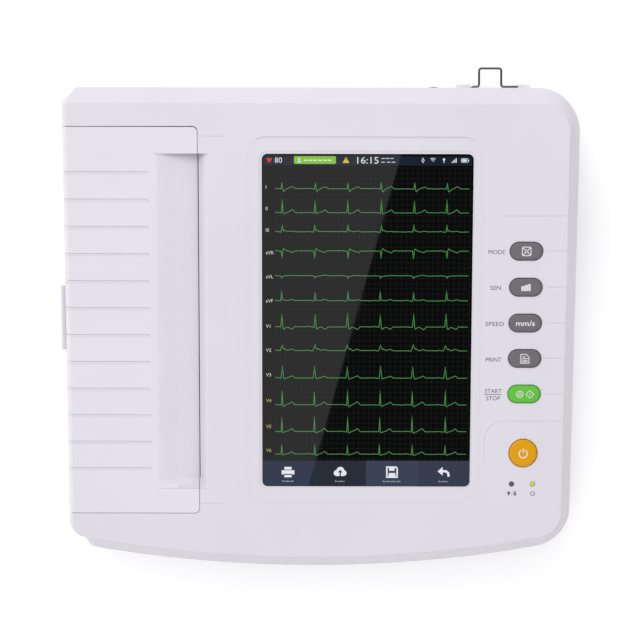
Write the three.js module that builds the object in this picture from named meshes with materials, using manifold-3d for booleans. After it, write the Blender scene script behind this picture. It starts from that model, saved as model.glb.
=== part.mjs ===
// A portable twelve-lead ECG machine: a flat wedge-shaped case with a portrait touch screen,
// a column of keys, and a thermal printer under a hinged paper cover at the left.
// Millimetres, +Z up, +X to the right of the panel, +Y to the rear.
// The origin is the centre of the object's bounding box, on the surface that the feet stand on.
import * as THREE from 'three';
import { mergeVertices } from 'three/addons/utils/BufferGeometryUtils.js';
import { ConvexGeometry } from 'three/addons/geometries/ConvexGeometry.js';
import Module from 'manifold-3d';

const wasm = await Module();
wasm.setup();

// ---------------------------------------------------------------- driving dimensions

const GAP = 0.3; // clearance between neighbouring pieces

// The panel frame: u = x across, v up the slope, w out of the panel face.
const SLOPE = THREE.MathUtils.degToRad(4);
const PANEL_HEIGHT = 72; // panel face above the floor at v = 0

// Case plan in the panel frame. The belt is the widest line, where the two shells meet.
const LEFT = -168;
const RIGHT = 170.9;
const REAR = 150.8;
const FRONT = -170.6;
const REAR_FLARE = 0.9; // the left side stands out this much more at the rear
const FRONT_TUCK = 2.3; // and the right side this much less at the front, at the belt
const FACE_TUCK = 1.4; // and this much less there at the face
const BELT_DEPTH = 22;
const RIGHT_CHAMFER = 9;
const FRONT_CHAMFER = 11.4;
const REAR_CHAMFER = 10;
const REAR_CHAMFER_DEPTH = 12;
const LEFT_ROUND = 5.5; // the left edge is a quarter ellipse, this wide
const LEFT_ROUND_DEPTH = 20;
const FRONT_RADIUS = 860; // the front edge is a shallow arc
const FRONT_MIDDLE = -5.6;
const REAR_RIGHT_RADIUS = 29;
const FRONT_RIGHT_RADIUS = 27;
const CORNER_SHRINK = 10; // the corner radii lose this much between the belt and the face
const REAR_LEFT_CUT = 9.3; // a sloping cut that runs out to this at the top
const TOP_CORNER_CUT = 1;
const FRONT_LEFT_RADIUS = 9;
const CHIN_LEFT = -157.7; // the front chamfer stops here
const CHIN_RADIUS = 8;
const WALL = 2.6;

// Base shell
const FLOOR_BOTTOM = 3;
const FLOOR_TOP = 5.6;
const REVEAL = 0.5; // the base is this much smaller than the belt all round
const CHIN_SLOPE = 0.34;
const BOTTOM_CHAMFER = 5;

// Paper cover
const COVER_RIGHT = -79.6;
const COVER_REAR = 125.4;
const COVER_FRONT = -129.3;
const COVER_BOTTOM = -21.3;
const COVER_CORNER = 3.2;
const COVER_SEAM = 0.6;
const SCOOP = { left: -107.3, depth: 6.2, rear: 108.2, front: -104, toe: -110.5, bodySide: -73 };
const GROOVES = { count: 12, rear: 95.8, pitch: 17.75, right: -111.5, width: 1.1, depth: 0.55 };
const HINGE = { u: -165.8, w: -20.2, knuckle: 2.2, pin: 1.0, stations: [-80, 80] };
const KNUCKLE_LENGTH = 12;

// Release button, in the left wall of the paper cover
const RELEASE = { front: -21.4, rear: 20.7, low: -17, high: -10, out: -171 };

// Printer, axes along v
const PLATEN = { u: -86.3, w: -16, radius: 7, half: 105.5 };
const SHAFT_RADIUS = 2.5;
const GEAR_MODULE = 0.75;
const PLATEN_TEETH = 20;
const PINION_TEETH = 12;
const GEAR_BACKLASH = 0.15;
const MESH_ANGLE = THREE.MathUtils.degToRad(-40);
const GEAR_REAR = 117.5;
const GEAR_WIDTH = 4.5;
const MOTOR = { radius: 12.5, front: 121, rear: 141 };
const MOTOR_PLATE = { front: 119.2, rear: 120.7 };
const BIN = { left: -160, right: -96, front: -113, rear: 111, bottom: -58, top: -25, wall: 1.8 };
const SPINDLE = { u: -128, w: -30.5, radius: 5, axle: 3, flange: 13 };

// Screen
const SCREEN = { u: 30.7, v: -1.2, width: 137.2, height: 218.8, corner: 3.6 };
const LIP = 1.8;
const GLASS_TOP = -2.1;
const GLASS_THICKNESS = 1.6;
const GLASS_MARGIN = 2.4;
const SURROUND = { left: -48.7, right: 107.3, rear: 119, front: -122.5, corner: 12, depth: 0.5 };

// Keys
const KEY_U = 134.3;
const KEYS = [
  { name: 'mode_key', v: 45.4 },
  { name: 'sensitivity_key', v: 21.8 },
  { name: 'speed_key', v: -1.8 },
  { name: 'print_key', v: -25.2 },
  { name: 'start_stop_key', v: -48.8 },
];
const KEY_LENGTH = 21.6;
const KEY_WIDTH = 12;
const KEY_CLEARANCE = 0.4;
const KEY_PROUD = 1.1;
const POWER_KEY = { v: -88.4, radius: 9.4 };
const LAMPS = [
  { name: 'charge_lamp', u: 127 },
  { name: 'mains_lamp', u: 141 },
];
const LAMP_V = -109.3;
const LAMP_RADIUS = 1.5;
const SWITCH_TOP = -6;
const KEY_BOARD = { left: 116, right: 152, front: -118, rear: 62, top: -9, thickness: 1.6 };

// Rear wall pieces, in the level frame
const REAR_WALL = 151.4;
const INLET = { x: 116, z: 30, width: 30, height: 25, flange: 1, depth: 28 };
const BAIL = { y: 153.7, top: 45, arm: 14.7, middle: -3.4, loop: 7.35, rear: 166, wire: 0.75, bend: 1.9 };
const BRACKET = { inner: 15.8, outer: 24.4, rear: 156, half: 6 };

const FEET = [
  ['foot_rear_left', -145, 128],
  ['foot_rear_right', 150, 118],
  ['foot_front_left', -132, -122],
  ['foot_front_right', 142, -118],
];
const SCREWS = [
  ['case_screw_rear_left', -158, 138],
  ['case_screw_rear_right', 158, 95],
  ['case_screw_front_left', -60, -128],
  ['case_screw_front_right', 120, -128],
];

// The origin: the middle of the case, within 2 mm of the centre of the bounding box.
const CENTRE_X = -1.55;
const CENTRE_Y = 0.3;

// ---------------------------------------------------------------- solids

const PANEL = new THREE.Matrix4()
  .makeTranslation(0, 0, PANEL_HEIGHT)
  .multiply(new THREE.Matrix4().makeRotationX(SLOPE));
const PANEL_INVERSE = PANEL.clone().invert();

// A closed three.js geometry as a manifold-3d solid.
function solid(geometry) {
  const bare = geometry.clone();
  bare.deleteAttribute('normal');
  bare.deleteAttribute('uv');
  const merged = mergeVertices(bare, 1e-4);
  return new wasm.Manifold(new wasm.Mesh({
    numProp: 3,
    vertProperties: merged.attributes.position.array,
    triVerts: new Uint32Array(merged.index.array),
  }));
}

// A manifold-3d solid as a three.js geometry.
function geometryOf(body) {
  const mesh = body.getMesh();
  const geometry = new THREE.BufferGeometry();
  geometry.setAttribute('position', new THREE.BufferAttribute(mesh.vertProperties, 3));
  geometry.setIndex(new THREE.BufferAttribute(mesh.triVerts, 1));
  const flat = geometry.toNonIndexed();
  flat.computeVertexNormals();
  return flat;
}

const join = (...bodies) => bodies.flat().reduce((sum, body) => sum.add(body));
const cut = (body, ...tools) => tools.flat().reduce((rest, tool) => rest.subtract(tool), body);

function boxGeometry([x0, x1], [y0, y1], [z0, z1]) {
  return new THREE.BoxGeometry(x1 - x0, y1 - y0, z1 - z0)
    .translate((x0 + x1) / 2, (y0 + y1) / 2, (z0 + z1) / 2);
}

const box = (x, y, z) => solid(boxGeometry(x, y, z));

// A shape drawn in x and y, extruded from z0 to z1, with an optional bevel round its top edge.
function prism(shape, [z0, z1], curveSegments = 4) {
  const options = { depth: z1 - z0, bevelEnabled: false, curveSegments };
  return solid(new THREE.ExtrudeGeometry(shape, options).translate(0, 0, z0));
}

// A shape drawn in x and z, extruded along y from y0 to y1.
function prismAlongY(shape, [y0, y1], curveSegments = 4) {
  const options = { depth: y1 - y0, bevelEnabled: false, curveSegments };
  const geometry = new THREE.ExtrudeGeometry(shape, options).rotateX(Math.PI / 2);
  return solid(geometry.translate(0, y1, 0));
}

function discGeometry(radius, length, segments) {
  return new THREE.CylinderGeometry(radius, radius, length, segments);
}

// Cylinders along each axis. The two numbers are the centre in the other two axes, in order.
function rodX([y, z], radius, [x0, x1], segments = 16) {
  const rod = discGeometry(radius, x1 - x0, segments).rotateZ(Math.PI / 2);
  return solid(rod.translate((x0 + x1) / 2, y, z));
}

function rodY([x, z], radius, [y0, y1], segments = 16) {
  return solid(discGeometry(radius, y1 - y0, segments).translate(x, (y0 + y1) / 2, z));
}

function rodZ([x, y], radius, [z0, z1], segments = 16) {
  const rod = discGeometry(radius, z1 - z0, segments).rotateX(Math.PI / 2);
  return solid(rod.translate(x, y, (z0 + z1) / 2));
}

const hull = (points) => solid(new ConvexGeometry(points));

// Moves a level-frame geometry into the panel frame, so that it can be cut there.
const levelled = (geometry) => solid(geometry.applyMatrix4(PANEL_INVERSE));

// A closed outline through corners [x, y, radius], with a true arc at each corner.
function filleted(corners) {
  const shape = new THREE.Shape();
  corners.forEach(([x, y, radius], i) => {
    const here = new THREE.Vector2(x, y);
    const [px, py] = corners.at(i - 1);
    const [nx, ny] = corners[(i + 1) % corners.length];
    const back = new THREE.Vector2(px, py).sub(here).normalize();
    const ahead = new THREE.Vector2(nx, ny).sub(here).normalize();
    const half = Math.acos(THREE.MathUtils.clamp(back.dot(ahead), -1, 1)) / 2;
    const reach = radius / Math.tan(half);
    const start = here.clone().addScaledVector(back, reach);
    const end = here.clone().addScaledVector(ahead, reach);
    const centre = back.clone().add(ahead).setLength(radius / Math.sin(half) || 1).add(here);
    if (i === 0) shape.moveTo(start.x, start.y);
    else shape.lineTo(start.x, start.y);
    if (!radius) return;
    const a0 = Math.atan2(start.y - centre.y, start.x - centre.x);
    const a1 = Math.atan2(end.y - centre.y, end.x - centre.x);
    shape.absarc(centre.x, centre.y, radius, a0, a1, back.cross(ahead) > 0);
  });
  shape.closePath();
  return shape;
}

const roundedRectangle = ([x0, x1], [y0, y1], radius) => filleted([
  [x0, y0, radius], [x1, y0, radius], [x1, y1, radius], [x0, y1, radius],
]);

// A capsule lying along x.
function capsule(x, y, length, width) {
  const r = width / 2;
  const reach = length / 2 - r;
  const shape = new THREE.Shape();
  shape.absarc(x + reach, y, r, -Math.PI / 2, Math.PI / 2, false);
  shape.absarc(x - reach, y, r, Math.PI / 2, Math.PI * 1.5, false);
  shape.closePath();
  return shape;
}

// A coil spring along x, from x0 to x1.
function coilX([x0, x1], [y, z], radius, wire, turns) {
  const helix = new THREE.CatmullRomCurve3(Array.from({ length: turns * 8 + 1 }, (_, i) => {
    const angle = (i / 8) * Math.PI * 2;
    const along = x0 + wire + (x1 - x0 - 2 * wire) * (i / (turns * 8));
    return new THREE.Vector3(along, y + radius * Math.cos(angle), z + radius * Math.sin(angle));
  }));
  const section = new THREE.Shape();
  section.absarc(0, 0, wire, 0, Math.PI * 2, false);
  const options = { steps: turns * 8, curveSegments: 2, bevelEnabled: false, extrudePath: helix };
  return solid(new THREE.ExtrudeGeometry(section, options));
}

// A round wire through the points, each inner corner bent to the radius.
function bentWire(points, bend, radius, steps) {
  const path = new THREE.CurvePath();
  let from = points[0];
  for (let i = 1; i < points.length - 1; i += 1) {
    const back = points[i - 1].clone().sub(points[i]).setLength(bend).add(points[i]);
    const ahead = points[i + 1].clone().sub(points[i]).setLength(bend).add(points[i]);
    path.add(new THREE.LineCurve3(from, back));
    path.add(new THREE.QuadraticBezierCurve3(back, points[i], ahead));
    from = ahead;
  }
  path.add(new THREE.LineCurve3(from, points.at(-1)));
  const section = new THREE.Shape();
  section.absarc(0, 0, radius, 0, Math.PI * 2, false);
  const options = { steps, curveSegments: 3, bevelEnabled: false, extrudePath: path };
  return solid(new THREE.ExtrudeGeometry(section, options));
}

// ---------------------------------------------------------------- materials

const paint = (color, roughness, metalness = 0) => (
  () => new THREE.MeshStandardMaterial({ color, roughness, metalness })
);
const shellPlastic = paint(0xe3e0e8, 0.45);
const coverPlastic = paint(0xe8e5ee, 0.45);
const darkKeyPlastic = paint(0x6f6d74, 0.5);
const greenKeyPlastic = paint(0x6cbf42, 0.45);
const orangeKeyPlastic = paint(0xe29f08, 0.4);
const blackPlastic = paint(0x1b1b1d, 0.5);
const whitePlastic = paint(0xd8d8d4, 0.5);
const rubber = paint(0x2a2a2c, 0.9);
const steel = paint(0xb4b6ba, 0.35, 1);
const darkSteel = paint(0x55575b, 0.4, 1);
const brass = paint(0xc9a24a, 0.35, 1);
const aluminium = paint(0xb9bcc0, 0.4, 1);
const boardGreen = paint(0x1f5a35, 0.6);
const glassBlack = paint(0x0b0c0e, 0.08);
const foam = paint(0x303033, 0.95);
const ceramicWhite = paint(0xd9d4c4, 0.5);
const batteryWrap = paint(0x2c4f86, 0.5);
const lampGreen = paint(0x9fbf3a, 0.3);
const lampDark = paint(0x5f5b63, 0.3);

const root = new THREE.Group();
root.position.set(-CENTRE_X, -CENTRE_Y, 0);
const panel = new THREE.Group();
panel.position.z = PANEL_HEIGHT;
panel.rotation.x = SLOPE;
root.add(panel);

function place(group, name, body, material) {
  const mesh = new THREE.Mesh(geometryOf(body), material());
  mesh.name = name;
  group.add(mesh);
}

// ---------------------------------------------------------------- case outlines

const frontArc = (x) => (x - FRONT_MIDDLE) ** 2 / (2 * FRONT_RADIUS);

// The front edge from left to right, as points on the arc.
function frontCorners(left, right, front) {
  const steps = 12;
  return Array.from({ length: steps + 1 }, (_, i) => {
    const x = left + ((right - left) * i) / steps;
    return [x, front + frontArc(x), 0];
  });
}

const asRing = (shape, w, segments) => (
  shape.getPoints(segments).map((p) => new THREE.Vector3(p.x, p.y, w))
);

// One ring of the main body of the case at height w, moved in by inset.
function mainRing(w, inset = 0, frontDrop = 0, rearDrop = 0) {
  const down = Math.min(-w / BELT_DEPTH, 1);
  const shrink = CORNER_SHRINK * (1 - down);
  const right = RIGHT - RIGHT_CHAMFER * (1 - down) - inset;
  const front = FRONT + FRONT_CHAMFER * (1 - down) + inset + frontDrop;
  const rearIn = REAR_CHAMFER * Math.max(0, 1 + w / REAR_CHAMFER_DEPTH);
  const rear = REAR - rearIn - inset - rearDrop;
  const tuck = FACE_TUCK + (FRONT_TUCK - FACE_TUCK) * down;
  const corners = frontCorners(CHIN_LEFT + inset, right - tuck, front);
  corners[0][2] = CHIN_RADIUS - inset;
  corners.at(-1)[2] = FRONT_RIGHT_RADIUS - shrink - inset;
  corners.splice(-2, 1);
  corners.splice(1, 1);
  corners.push([right, rear, REAR_RIGHT_RADIUS - shrink - inset]);
  corners.push([CHIN_LEFT + inset, rear, 0]);
  return asRing(filleted(corners), w, inset > WALL / 2 ? 3 : 5);
}

// One ring of the printer side of the case, which has a rounded left edge and no chin.
function leftRing(w, inset = 0, rearDrop = 0) {
  const rise = Math.max(0, 1 + w / LEFT_ROUND_DEPTH);
  const left = LEFT + LEFT_ROUND * (1 - Math.sqrt(1 - rise * rise)) + inset;
  const rearIn = REAR_CHAMFER * Math.max(0, 1 + w / REAR_CHAMFER_DEPTH);
  const rear = REAR - rearIn - inset - rearDrop;
  const front = FRONT + FRONT_CHAMFER + inset;
  const right = COVER_RIGHT + 10;
  const middle = -130;
  const rearLeft = left - REAR_FLARE;
  const cutAway = TOP_CORNER_CUT
    + (REAR_LEFT_CUT - TOP_CORNER_CUT) * Math.min(-w / REAR_CHAMFER_DEPTH, 1);
  return asRing(filleted([
    [left, front + frontArc(left), FRONT_LEFT_RADIUS - inset],
    [middle, front + frontArc(middle), 0],
    [right, front + frontArc(right), 0],
    [right, rear, 0],
    [rearLeft + cutAway, rear, cutAway / 4],
    [rearLeft, rear - cutAway, cutAway / 4],
  ]), w, 4);
}

const MAIN_LEVELS = [0, -REAR_CHAMFER_DEPTH, -BELT_DEPTH];
const LEFT_LEVELS = [0, -1, -3, -6, -REAR_CHAMFER_DEPTH, -BELT_DEPTH];

// The outer form of the upper case, moved in by inset, from its face down to the level given.
function upperForm(inset = 0, bottom = -BELT_DEPTH) {
  const lowered = (levels) => [-inset, ...levels.filter((w) => w < -inset - 0.2).slice(0, -1), bottom];
  return join(
    hull(lowered(MAIN_LEVELS).flatMap((w) => mainRing(w, inset))),
    hull(lowered(LEFT_LEVELS).flatMap((w) => leftRing(w, inset))),
  );
}

const leftForm = (inset = 0) => hull(
  [-inset, ...LEFT_LEVELS.slice(1, -1), COVER_BOTTOM].flatMap((w) => leftRing(w, inset)),
);

// ---------------------------------------------------------------- scoop and seams

// Scoop surface under the paper cover's right edge, as height w at u.
function scoopSection(extra = 0) {
  const span = COVER_RIGHT - SCOOP.left;
  const steps = [0, 0.25, 0.6, 1];
  const fall = (t) => SCOOP.depth * Math.pow(t, 0.8);
  return steps.map((t) => [SCOOP.left - extra + (span + extra) * t, -fall(t) - extra]);
}

// The space of the scoop: full depth between its two ends, running out at the front toe.
function scoopSpace(extra = 0) {
  const section = scoopSection(extra);
  const right = COVER_RIGHT + 0.01;
  const at = (v) => section.map(([u, w]) => new THREE.Vector3(u, v, w));
  const lid = (v, w) => [new THREE.Vector3(SCOOP.left - extra, v, w), new THREE.Vector3(right, v, w)];
  const top = extra ? -0.2 : 2;
  return hull([
    ...at(SCOOP.rear + extra),
    ...at(SCOOP.front),
    ...lid(SCOOP.rear + extra, top),
    ...lid(SCOOP.toe - extra, top),
    ...lid(SCOOP.toe - extra, -extra),
  ]);
}

// The steeper side of the scoop, cut in the top cover to the right of the paper slot.
function scoopFarSide() {
  const left = COVER_RIGHT + COVER_SEAM - 1;
  const side = (v, depth) => [
    new THREE.Vector3(left, v, -depth),
    new THREE.Vector3(SCOOP.bodySide, v, 0),
    new THREE.Vector3(SCOOP.bodySide, v, 2),
    new THREE.Vector3(left, v, 2),
  ];
  return hull([
    ...side(SCOOP.rear, SCOOP.depth),
    ...side(SCOOP.front, SCOOP.depth),
    ...side(SCOOP.toe, 0),
  ]);
}

function coverOutline(seam) {
  const outside = LEFT - 12;
  return filleted([
    [outside, COVER_FRONT - seam, 0],
    [COVER_RIGHT + seam, COVER_FRONT - seam, COVER_CORNER + seam],
    [COVER_RIGHT + seam, COVER_REAR + seam, COVER_CORNER + seam],
    [outside, COVER_REAR + seam, 0],
  ]);
}

// ---------------------------------------------------------------- top cover

// The opening for the screen, with its sloping lip.
function screenOpening() {
  const halfWidth = SCREEN.width / 2;
  const halfHeight = SCREEN.height / 2;
  const rectangle = (grow) => roundedRectangle(
    [SCREEN.u - halfWidth - grow, SCREEN.u + halfWidth + grow],
    [SCREEN.v - halfHeight - grow, SCREEN.v + halfHeight + grow],
    SCREEN.corner + grow,
  );
  const lip = hull([
    ...asRing(rectangle(0), GLASS_TOP + 0.5, 3),
    ...asRing(rectangle(LIP), -SURROUND.depth + 0.01, 3),
    ...asRing(rectangle(LIP), 1, 3),
  ]);
  const pocket = prism(rectangle(GLASS_MARGIN + GAP), [-WALL - 1, GLASS_TOP + GAP], 3);
  return [prism(rectangle(0), [-WALL - 1, 1], 3), lip, pocket];
}

// The shallow recess round the screen, whose lower right corner gives way to the power key zone.
function screenSurround() {
  const { left, right, rear, front, corner, depth } = SURROUND;
  return prism(roundedRectangle([left, right], [front, rear], corner), [-depth, 1], 4);
}

// Fine engraved lines: beside each key, above the keys, and round the power key zone.
function engravedLines() {
  const depth = 0.4;
  const half = 0.35;
  const edge = RIGHT - RIGHT_CHAMFER + 2;
  const line = (u0, u1, v) => box([u0, u1], [v - half, v + half], [-depth, 1]);
  const besideKeys = KEYS.map(({ v }) => line(KEY_U + KEY_LENGTH / 2 + 3, edge, v));
  const zoneRear = -67.1;
  const zoneLeft = 108.3;
  const zoneRadius = 13;
  const zone = filleted([
    [zoneLeft, -84, 0],
    [zoneLeft, zoneRear, zoneRadius],
    [edge, zoneRear, 0],
    [edge, zoneRear - 2 * half, 0],
    [zoneLeft + 2 * half, zoneRear - 2 * half, zoneRadius - 2 * half],
    [zoneLeft + 2 * half, -84, 0],
  ]);
  return [
    ...besideKeys,
    line(KEY_U - 14.4, edge, 68.1),
    prism(zone, [-depth, 1], 3),
    line(COVER_RIGHT + 1, COVER_RIGHT + 18, 119.3),
    line(COVER_RIGHT + 1, COVER_RIGHT + 16, -122.8),
  ];
}

// Two soft upright folds between the paper slot and the screen.
const foldLines = () => [-61.4, -53].map((u) => hull([
  [u - 1.2, 1], [u + 1.2, 1], [u - 1.2, 0], [u + 1.2, 0], [u, -0.35],
].flatMap(([x, w]) => [-112, 110].map((v) => new THREE.Vector3(x, v, w)))));

function keyOpenings() {
  const through = [-WALL - 1, 1];
  const grow = 2 * KEY_CLEARANCE;
  return [
    ...KEYS.map(({ v }) => prism(capsule(KEY_U, v, KEY_LENGTH + grow, KEY_WIDTH + grow), through)),
    rodZ([KEY_U, POWER_KEY.v], POWER_KEY.radius + KEY_CLEARANCE, through, 32),
    ...LAMPS.map(({ u }) => rodZ([u, LAMP_V], LAMP_RADIUS + GAP, through, 12)),
  ];
}

// A threaded post for each case screw, hanging from the roof of the cover.
function screwPosts() {
  const post = ([, x, y], radius, [z0, z1]) => levelled(
    discGeometry(radius, z1 - z0, 12).rotateX(Math.PI / 2).translate(x, y, (z0 + z1) / 2),
  );
  const roof = upperForm(1, -BELT_DEPTH - 40);
  const posts = SCREWS.map((screw) => post(screw, 4, [14, 90]).intersect(roof));
  const bores = SCREWS.map((screw) => post(screw, 1.8, [10, 30]));
  return { posts, bores };
}

function topCover() {
  const outer = upperForm();
  const shell = cut(outer, upperForm(WALL, -BELT_DEPTH - 1));
  const rimDepth = [-BELT_DEPTH - 1, 0.5];
  const rim = outer.intersect(prism(coverOutline(2.8), rimDepth));
  const slotBlock = box([COVER_RIGHT, -70.5], [-112.5, 110.5], [-9, -0.5]);
  const { posts, bores } = screwPosts();
  const headSpace = box([COVER_RIGHT - 1, -76], [-115, 119], [-BELT_DEPTH - 2, -9]);
  const gearSpace = box([COVER_RIGHT - 1, -76], [112, 119], [-BELT_DEPTH - 2, -3.5]);
  const motorSpace = box([-97, -62], [118, 146], [-BELT_DEPTH - 2, -9]);
  const tearBarSlot = box([-80, -78.1], [-107, 107], [-9.5, -5.2]);
  return cut(
    join(shell, rim, slotBlock, posts),
    prism(coverOutline(COVER_SEAM), [-BELT_DEPTH - 2, 1]),
    scoopFarSide(),
    headSpace,
    gearSpace,
    motorSpace,
    tearBarSlot,
    bores,
    screenSurround(),
    screenOpening(),
    engravedLines(),
    foldLines(),
    keyOpenings(),
  );
}

// ---------------------------------------------------------------- base shell

// The form of the base in the panel frame, down to below the floor.
function baseForm(inset, top) {
  const bottom = -90;
  const chin = (w) => CHIN_SLOPE * (-w - BELT_DEPTH);
  const upright = (w) => (-w - BELT_DEPTH) * Math.tan(SLOPE);
  const levels = [top, bottom];
  return join(
    hull(levels.flatMap((w) => mainRing(w, inset, Math.max(0, chin(w)), Math.max(0, upright(w))))),
    hull(levels.flatMap((w) => leftRing(w, inset, Math.max(0, upright(w))))),
  );
}

// A level slab with chamfered lower edges, which gives the base its flat underside.
function levelSlab() {
  const ring = (inset, z) => roundedRectangle(
    [LEFT + inset - 0.4, RIGHT - inset],
    [FRONT + 11 + inset, REAR_WALL + 1 - inset],
    24,
  ).getPoints(4).map((p) => new THREE.Vector3(p.x, p.y, z).applyMatrix4(PANEL_INVERSE));
  const outside = 40; // clear of the walls higher up
  return hull([
    ...ring(BOTTOM_CHAMFER, FLOOR_BOTTOM),
    ...ring(0, FLOOR_BOTTOM + BOTTOM_CHAMFER),
    ...ring(-outside, FLOOR_BOTTOM + BOTTOM_CHAMFER + 20),
    ...ring(-outside, 100),
  ]);
}

const BATTERY = { left: -30, right: 50, front: -112, rear: -52, top: 24 };
const BATTERY_LEDGE = 4;
const BATTERY_SCREWS = [['battery_cover_screw_left', -24], ['battery_cover_screw_right', 44]];
const BATTERY_SCREW_Y = -48.6;
const PORTS = {
  usb_port: { x: 46, z: 30, width: 15, height: 16.4 },
  network_port: { x: 20, z: 30, width: 17, height: 14 },
};
const EARTH = { x: 76, z: 30 };
const PATIENT = { wall: 170.1, y: 60, z: 30, width: 44, height: 17 };
const SPEAKER = { x: 128, y: -92, radius: 17 };

// Openings in the walls and the floor, in the level frame.
function baseOpenings() {
  const level = (x, y, z) => levelled(boxGeometry(x, y, z));
  const around = (centre, size) => [centre - size / 2 - GAP, centre + size / 2 + GAP];
  const wallY = [REAR_WALL - 12, REAR_WALL + 8];
  const ports = Object.values(PORTS).map((p) => (
    level(around(p.x, p.width), wallY, around(p.z, p.height))
  ));
  const inlet = level(around(INLET.x, 28), wallY, around(INLET.z, 20));
  const patient = level([PATIENT.wall - 8, PATIENT.wall + 8], around(PATIENT.y, PATIENT.width),
    around(PATIENT.z, PATIENT.height));
  const earth = levelled(discGeometry(3 + GAP, 20, 12).translate(EARTH.x, REAR_WALL, EARTH.z));
  const { left, right, front, rear } = BATTERY;
  const batteryHole = level([left, right], [front, rear], [0, FLOOR_TOP + 1]);
  const ledge = level(
    [left - BATTERY_LEDGE, right + BATTERY_LEDGE],
    [front - BATTERY_LEDGE, rear + BATTERY_LEDGE + 3],
    [0, FLOOR_BOTTOM + 1.6],
  );
  const sound = Array.from({ length: 5 }, (_, i) => {
    const y = SPEAKER.y - 10 + i * 5;
    return level([SPEAKER.x - 11, SPEAKER.x + 11], [y - 1, y + 1], [0, FLOOR_TOP + 1]);
  });
  return [...ports, inlet, patient, earth, batteryHole, ledge, ...sound];
}

const levelRod = ([x, y], radius, [z0, z1], segments = 12) => levelled(
  discGeometry(radius, z1 - z0, segments).rotateX(Math.PI / 2).translate(x, y, (z0 + z1) / 2),
);

function baseShell() {
  const outer = baseForm(REVEAL, -BELT_DEPTH - GAP).intersect(levelSlab());
  const inside = baseForm(REVEAL + WALL, -BELT_DEPTH + 1)
    .intersect(levelled(boxGeometry([-200, 200], [-200, 200], [FLOOR_TOP, 120])));
  const underHead = -45.3;
  const printerPosts = [-95, 95].map((v) => rodZ([-68, v], 4, [-80, underHead], 12).intersect(outer));
  const supplyPosts = [[66, 68], [144, 68], [66, 117], [144, 117]].map((at) => (
    levelRod(at, 3, [FLOOR_TOP - 1, 11.6], 10)
  ));
  const bosses = SCREWS.map(([, x, y]) => levelRod([x, y], 5.5, [FLOOR_BOTTOM + 0.5, 13.4]));
  const batteryBosses = BATTERY_SCREWS.map(([, x]) => (
    levelRod([x, BATTERY_SCREW_Y], 3, [FLOOR_BOTTOM + 1.7, 11])
  ));
  const counterbores = SCREWS.map(([, x, y]) => levelRod([x, y], 3.6, [0, 9]));
  const screwHoles = SCREWS.map(([, x, y]) => levelRod([x, y], 1.8, [0, 14]));
  const batteryHoles = BATTERY_SCREWS.map(([, x]) => levelRod([x, BATTERY_SCREW_Y], 1.3, [0, 9.5], 8));
  const footHoles = FEET.map(([, x, y]) => levelRod([x, y], 2.3, [0, FLOOR_TOP + 1]));
  const hingeNotch = box([LEFT - 5, LEFT + 8], [COVER_FRONT - 0.6, COVER_REAR + 0.6], [-24, 0]);
  return cut(
    join(cut(outer, inside), bosses.map((b) => b.intersect(outer)), printerPosts, supplyPosts,
      batteryBosses),
    hingeNotch,
    baseOpenings(),
    counterbores,
    screwHoles,
    batteryHoles,
    footHoles,
  );
}

// ---------------------------------------------------------------- paper cover

function coverGrooves() {
  const core = leftForm(GROOVES.depth);
  const slabs = Array.from({ length: GROOVES.count }, (_, i) => {
    const v = GROOVES.rear - i * GROOVES.pitch;
    return box([LEFT - 5, GROOVES.right], [v - GROOVES.width / 2, v + GROOVES.width / 2], [-15, 2]);
  });
  return join(slabs).subtract(core);
}

// Hinge barrels along v: the cover has one at each side of the body's bracket, at each station.
const knuckleSpans = HINGE.stations.flatMap((v) => [
  [v - 1.5 * KNUCKLE_LENGTH, v - KNUCKLE_LENGTH / 2 - GAP],
  [v + KNUCKLE_LENGTH / 2 + GAP, v + 1.5 * KNUCKLE_LENGTH],
]);
const HINGE_AXIS = [HINGE.u, HINGE.w];
const PIN_REACH = HINGE.stations[1] + 1.5 * KNUCKLE_LENGTH;

function paperCover() {
  const plate = leftForm().intersect(prism(coverOutline(0), [COVER_BOTTOM, 1]));
  const skirt = 2.4;
  const roomV = [COVER_FRONT + skirt, COVER_REAR - skirt];
  const room = leftForm(WALL + 0.2).intersect(box([-200, COVER_RIGHT - skirt], roomV, [-60, -WALL]));
  const belowEnds = box([-160, 0], [-200, 200], [-60, -8]);
  const belowEdge = box([-84, 0], [-200, 200], [-60, -8.8]);
  const skin = scoopSpace(skirt).intersect(plate);
  const posts = [-90, -30, 30, 90].map((v) => rodZ([-103, v], 3, [-8.7, -2], 10));
  const springPost = box([-150.5, -148.5], [-6.6, 5.4], [-14, -2]);
  const knuckles = knuckleSpans.map((span) => rodY(HINGE_AXIS, HINGE.knuckle, span, 12));
  const blank = join(
    cut(plate, room, belowEnds, belowEdge), skin, posts, springPost, knuckles,
  );
  const pinBore = rodY(HINGE_AXIS, HINGE.pin + GAP, [-PIN_REACH - GAP, PIN_REACH + GAP], 10);
  const bracketNotches = HINGE.stations.map((v) => box(
    [LEFT - 5, LEFT + 8],
    [v - KNUCKLE_LENGTH / 2 - GAP, v + KNUCKLE_LENGTH / 2 + GAP],
    [-30, HINGE.w + HINGE.knuckle + 0.6],
  ));
  const buttonHole = box(
    [LEFT - 5, LEFT + 6],
    [RELEASE.front - GAP, RELEASE.rear + GAP],
    [RELEASE.low - GAP, RELEASE.high + GAP],
  );
  return cut(blank, scoopSpace(), coverGrooves(), pinBore, bracketNotches, buttonHole);
}

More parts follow.
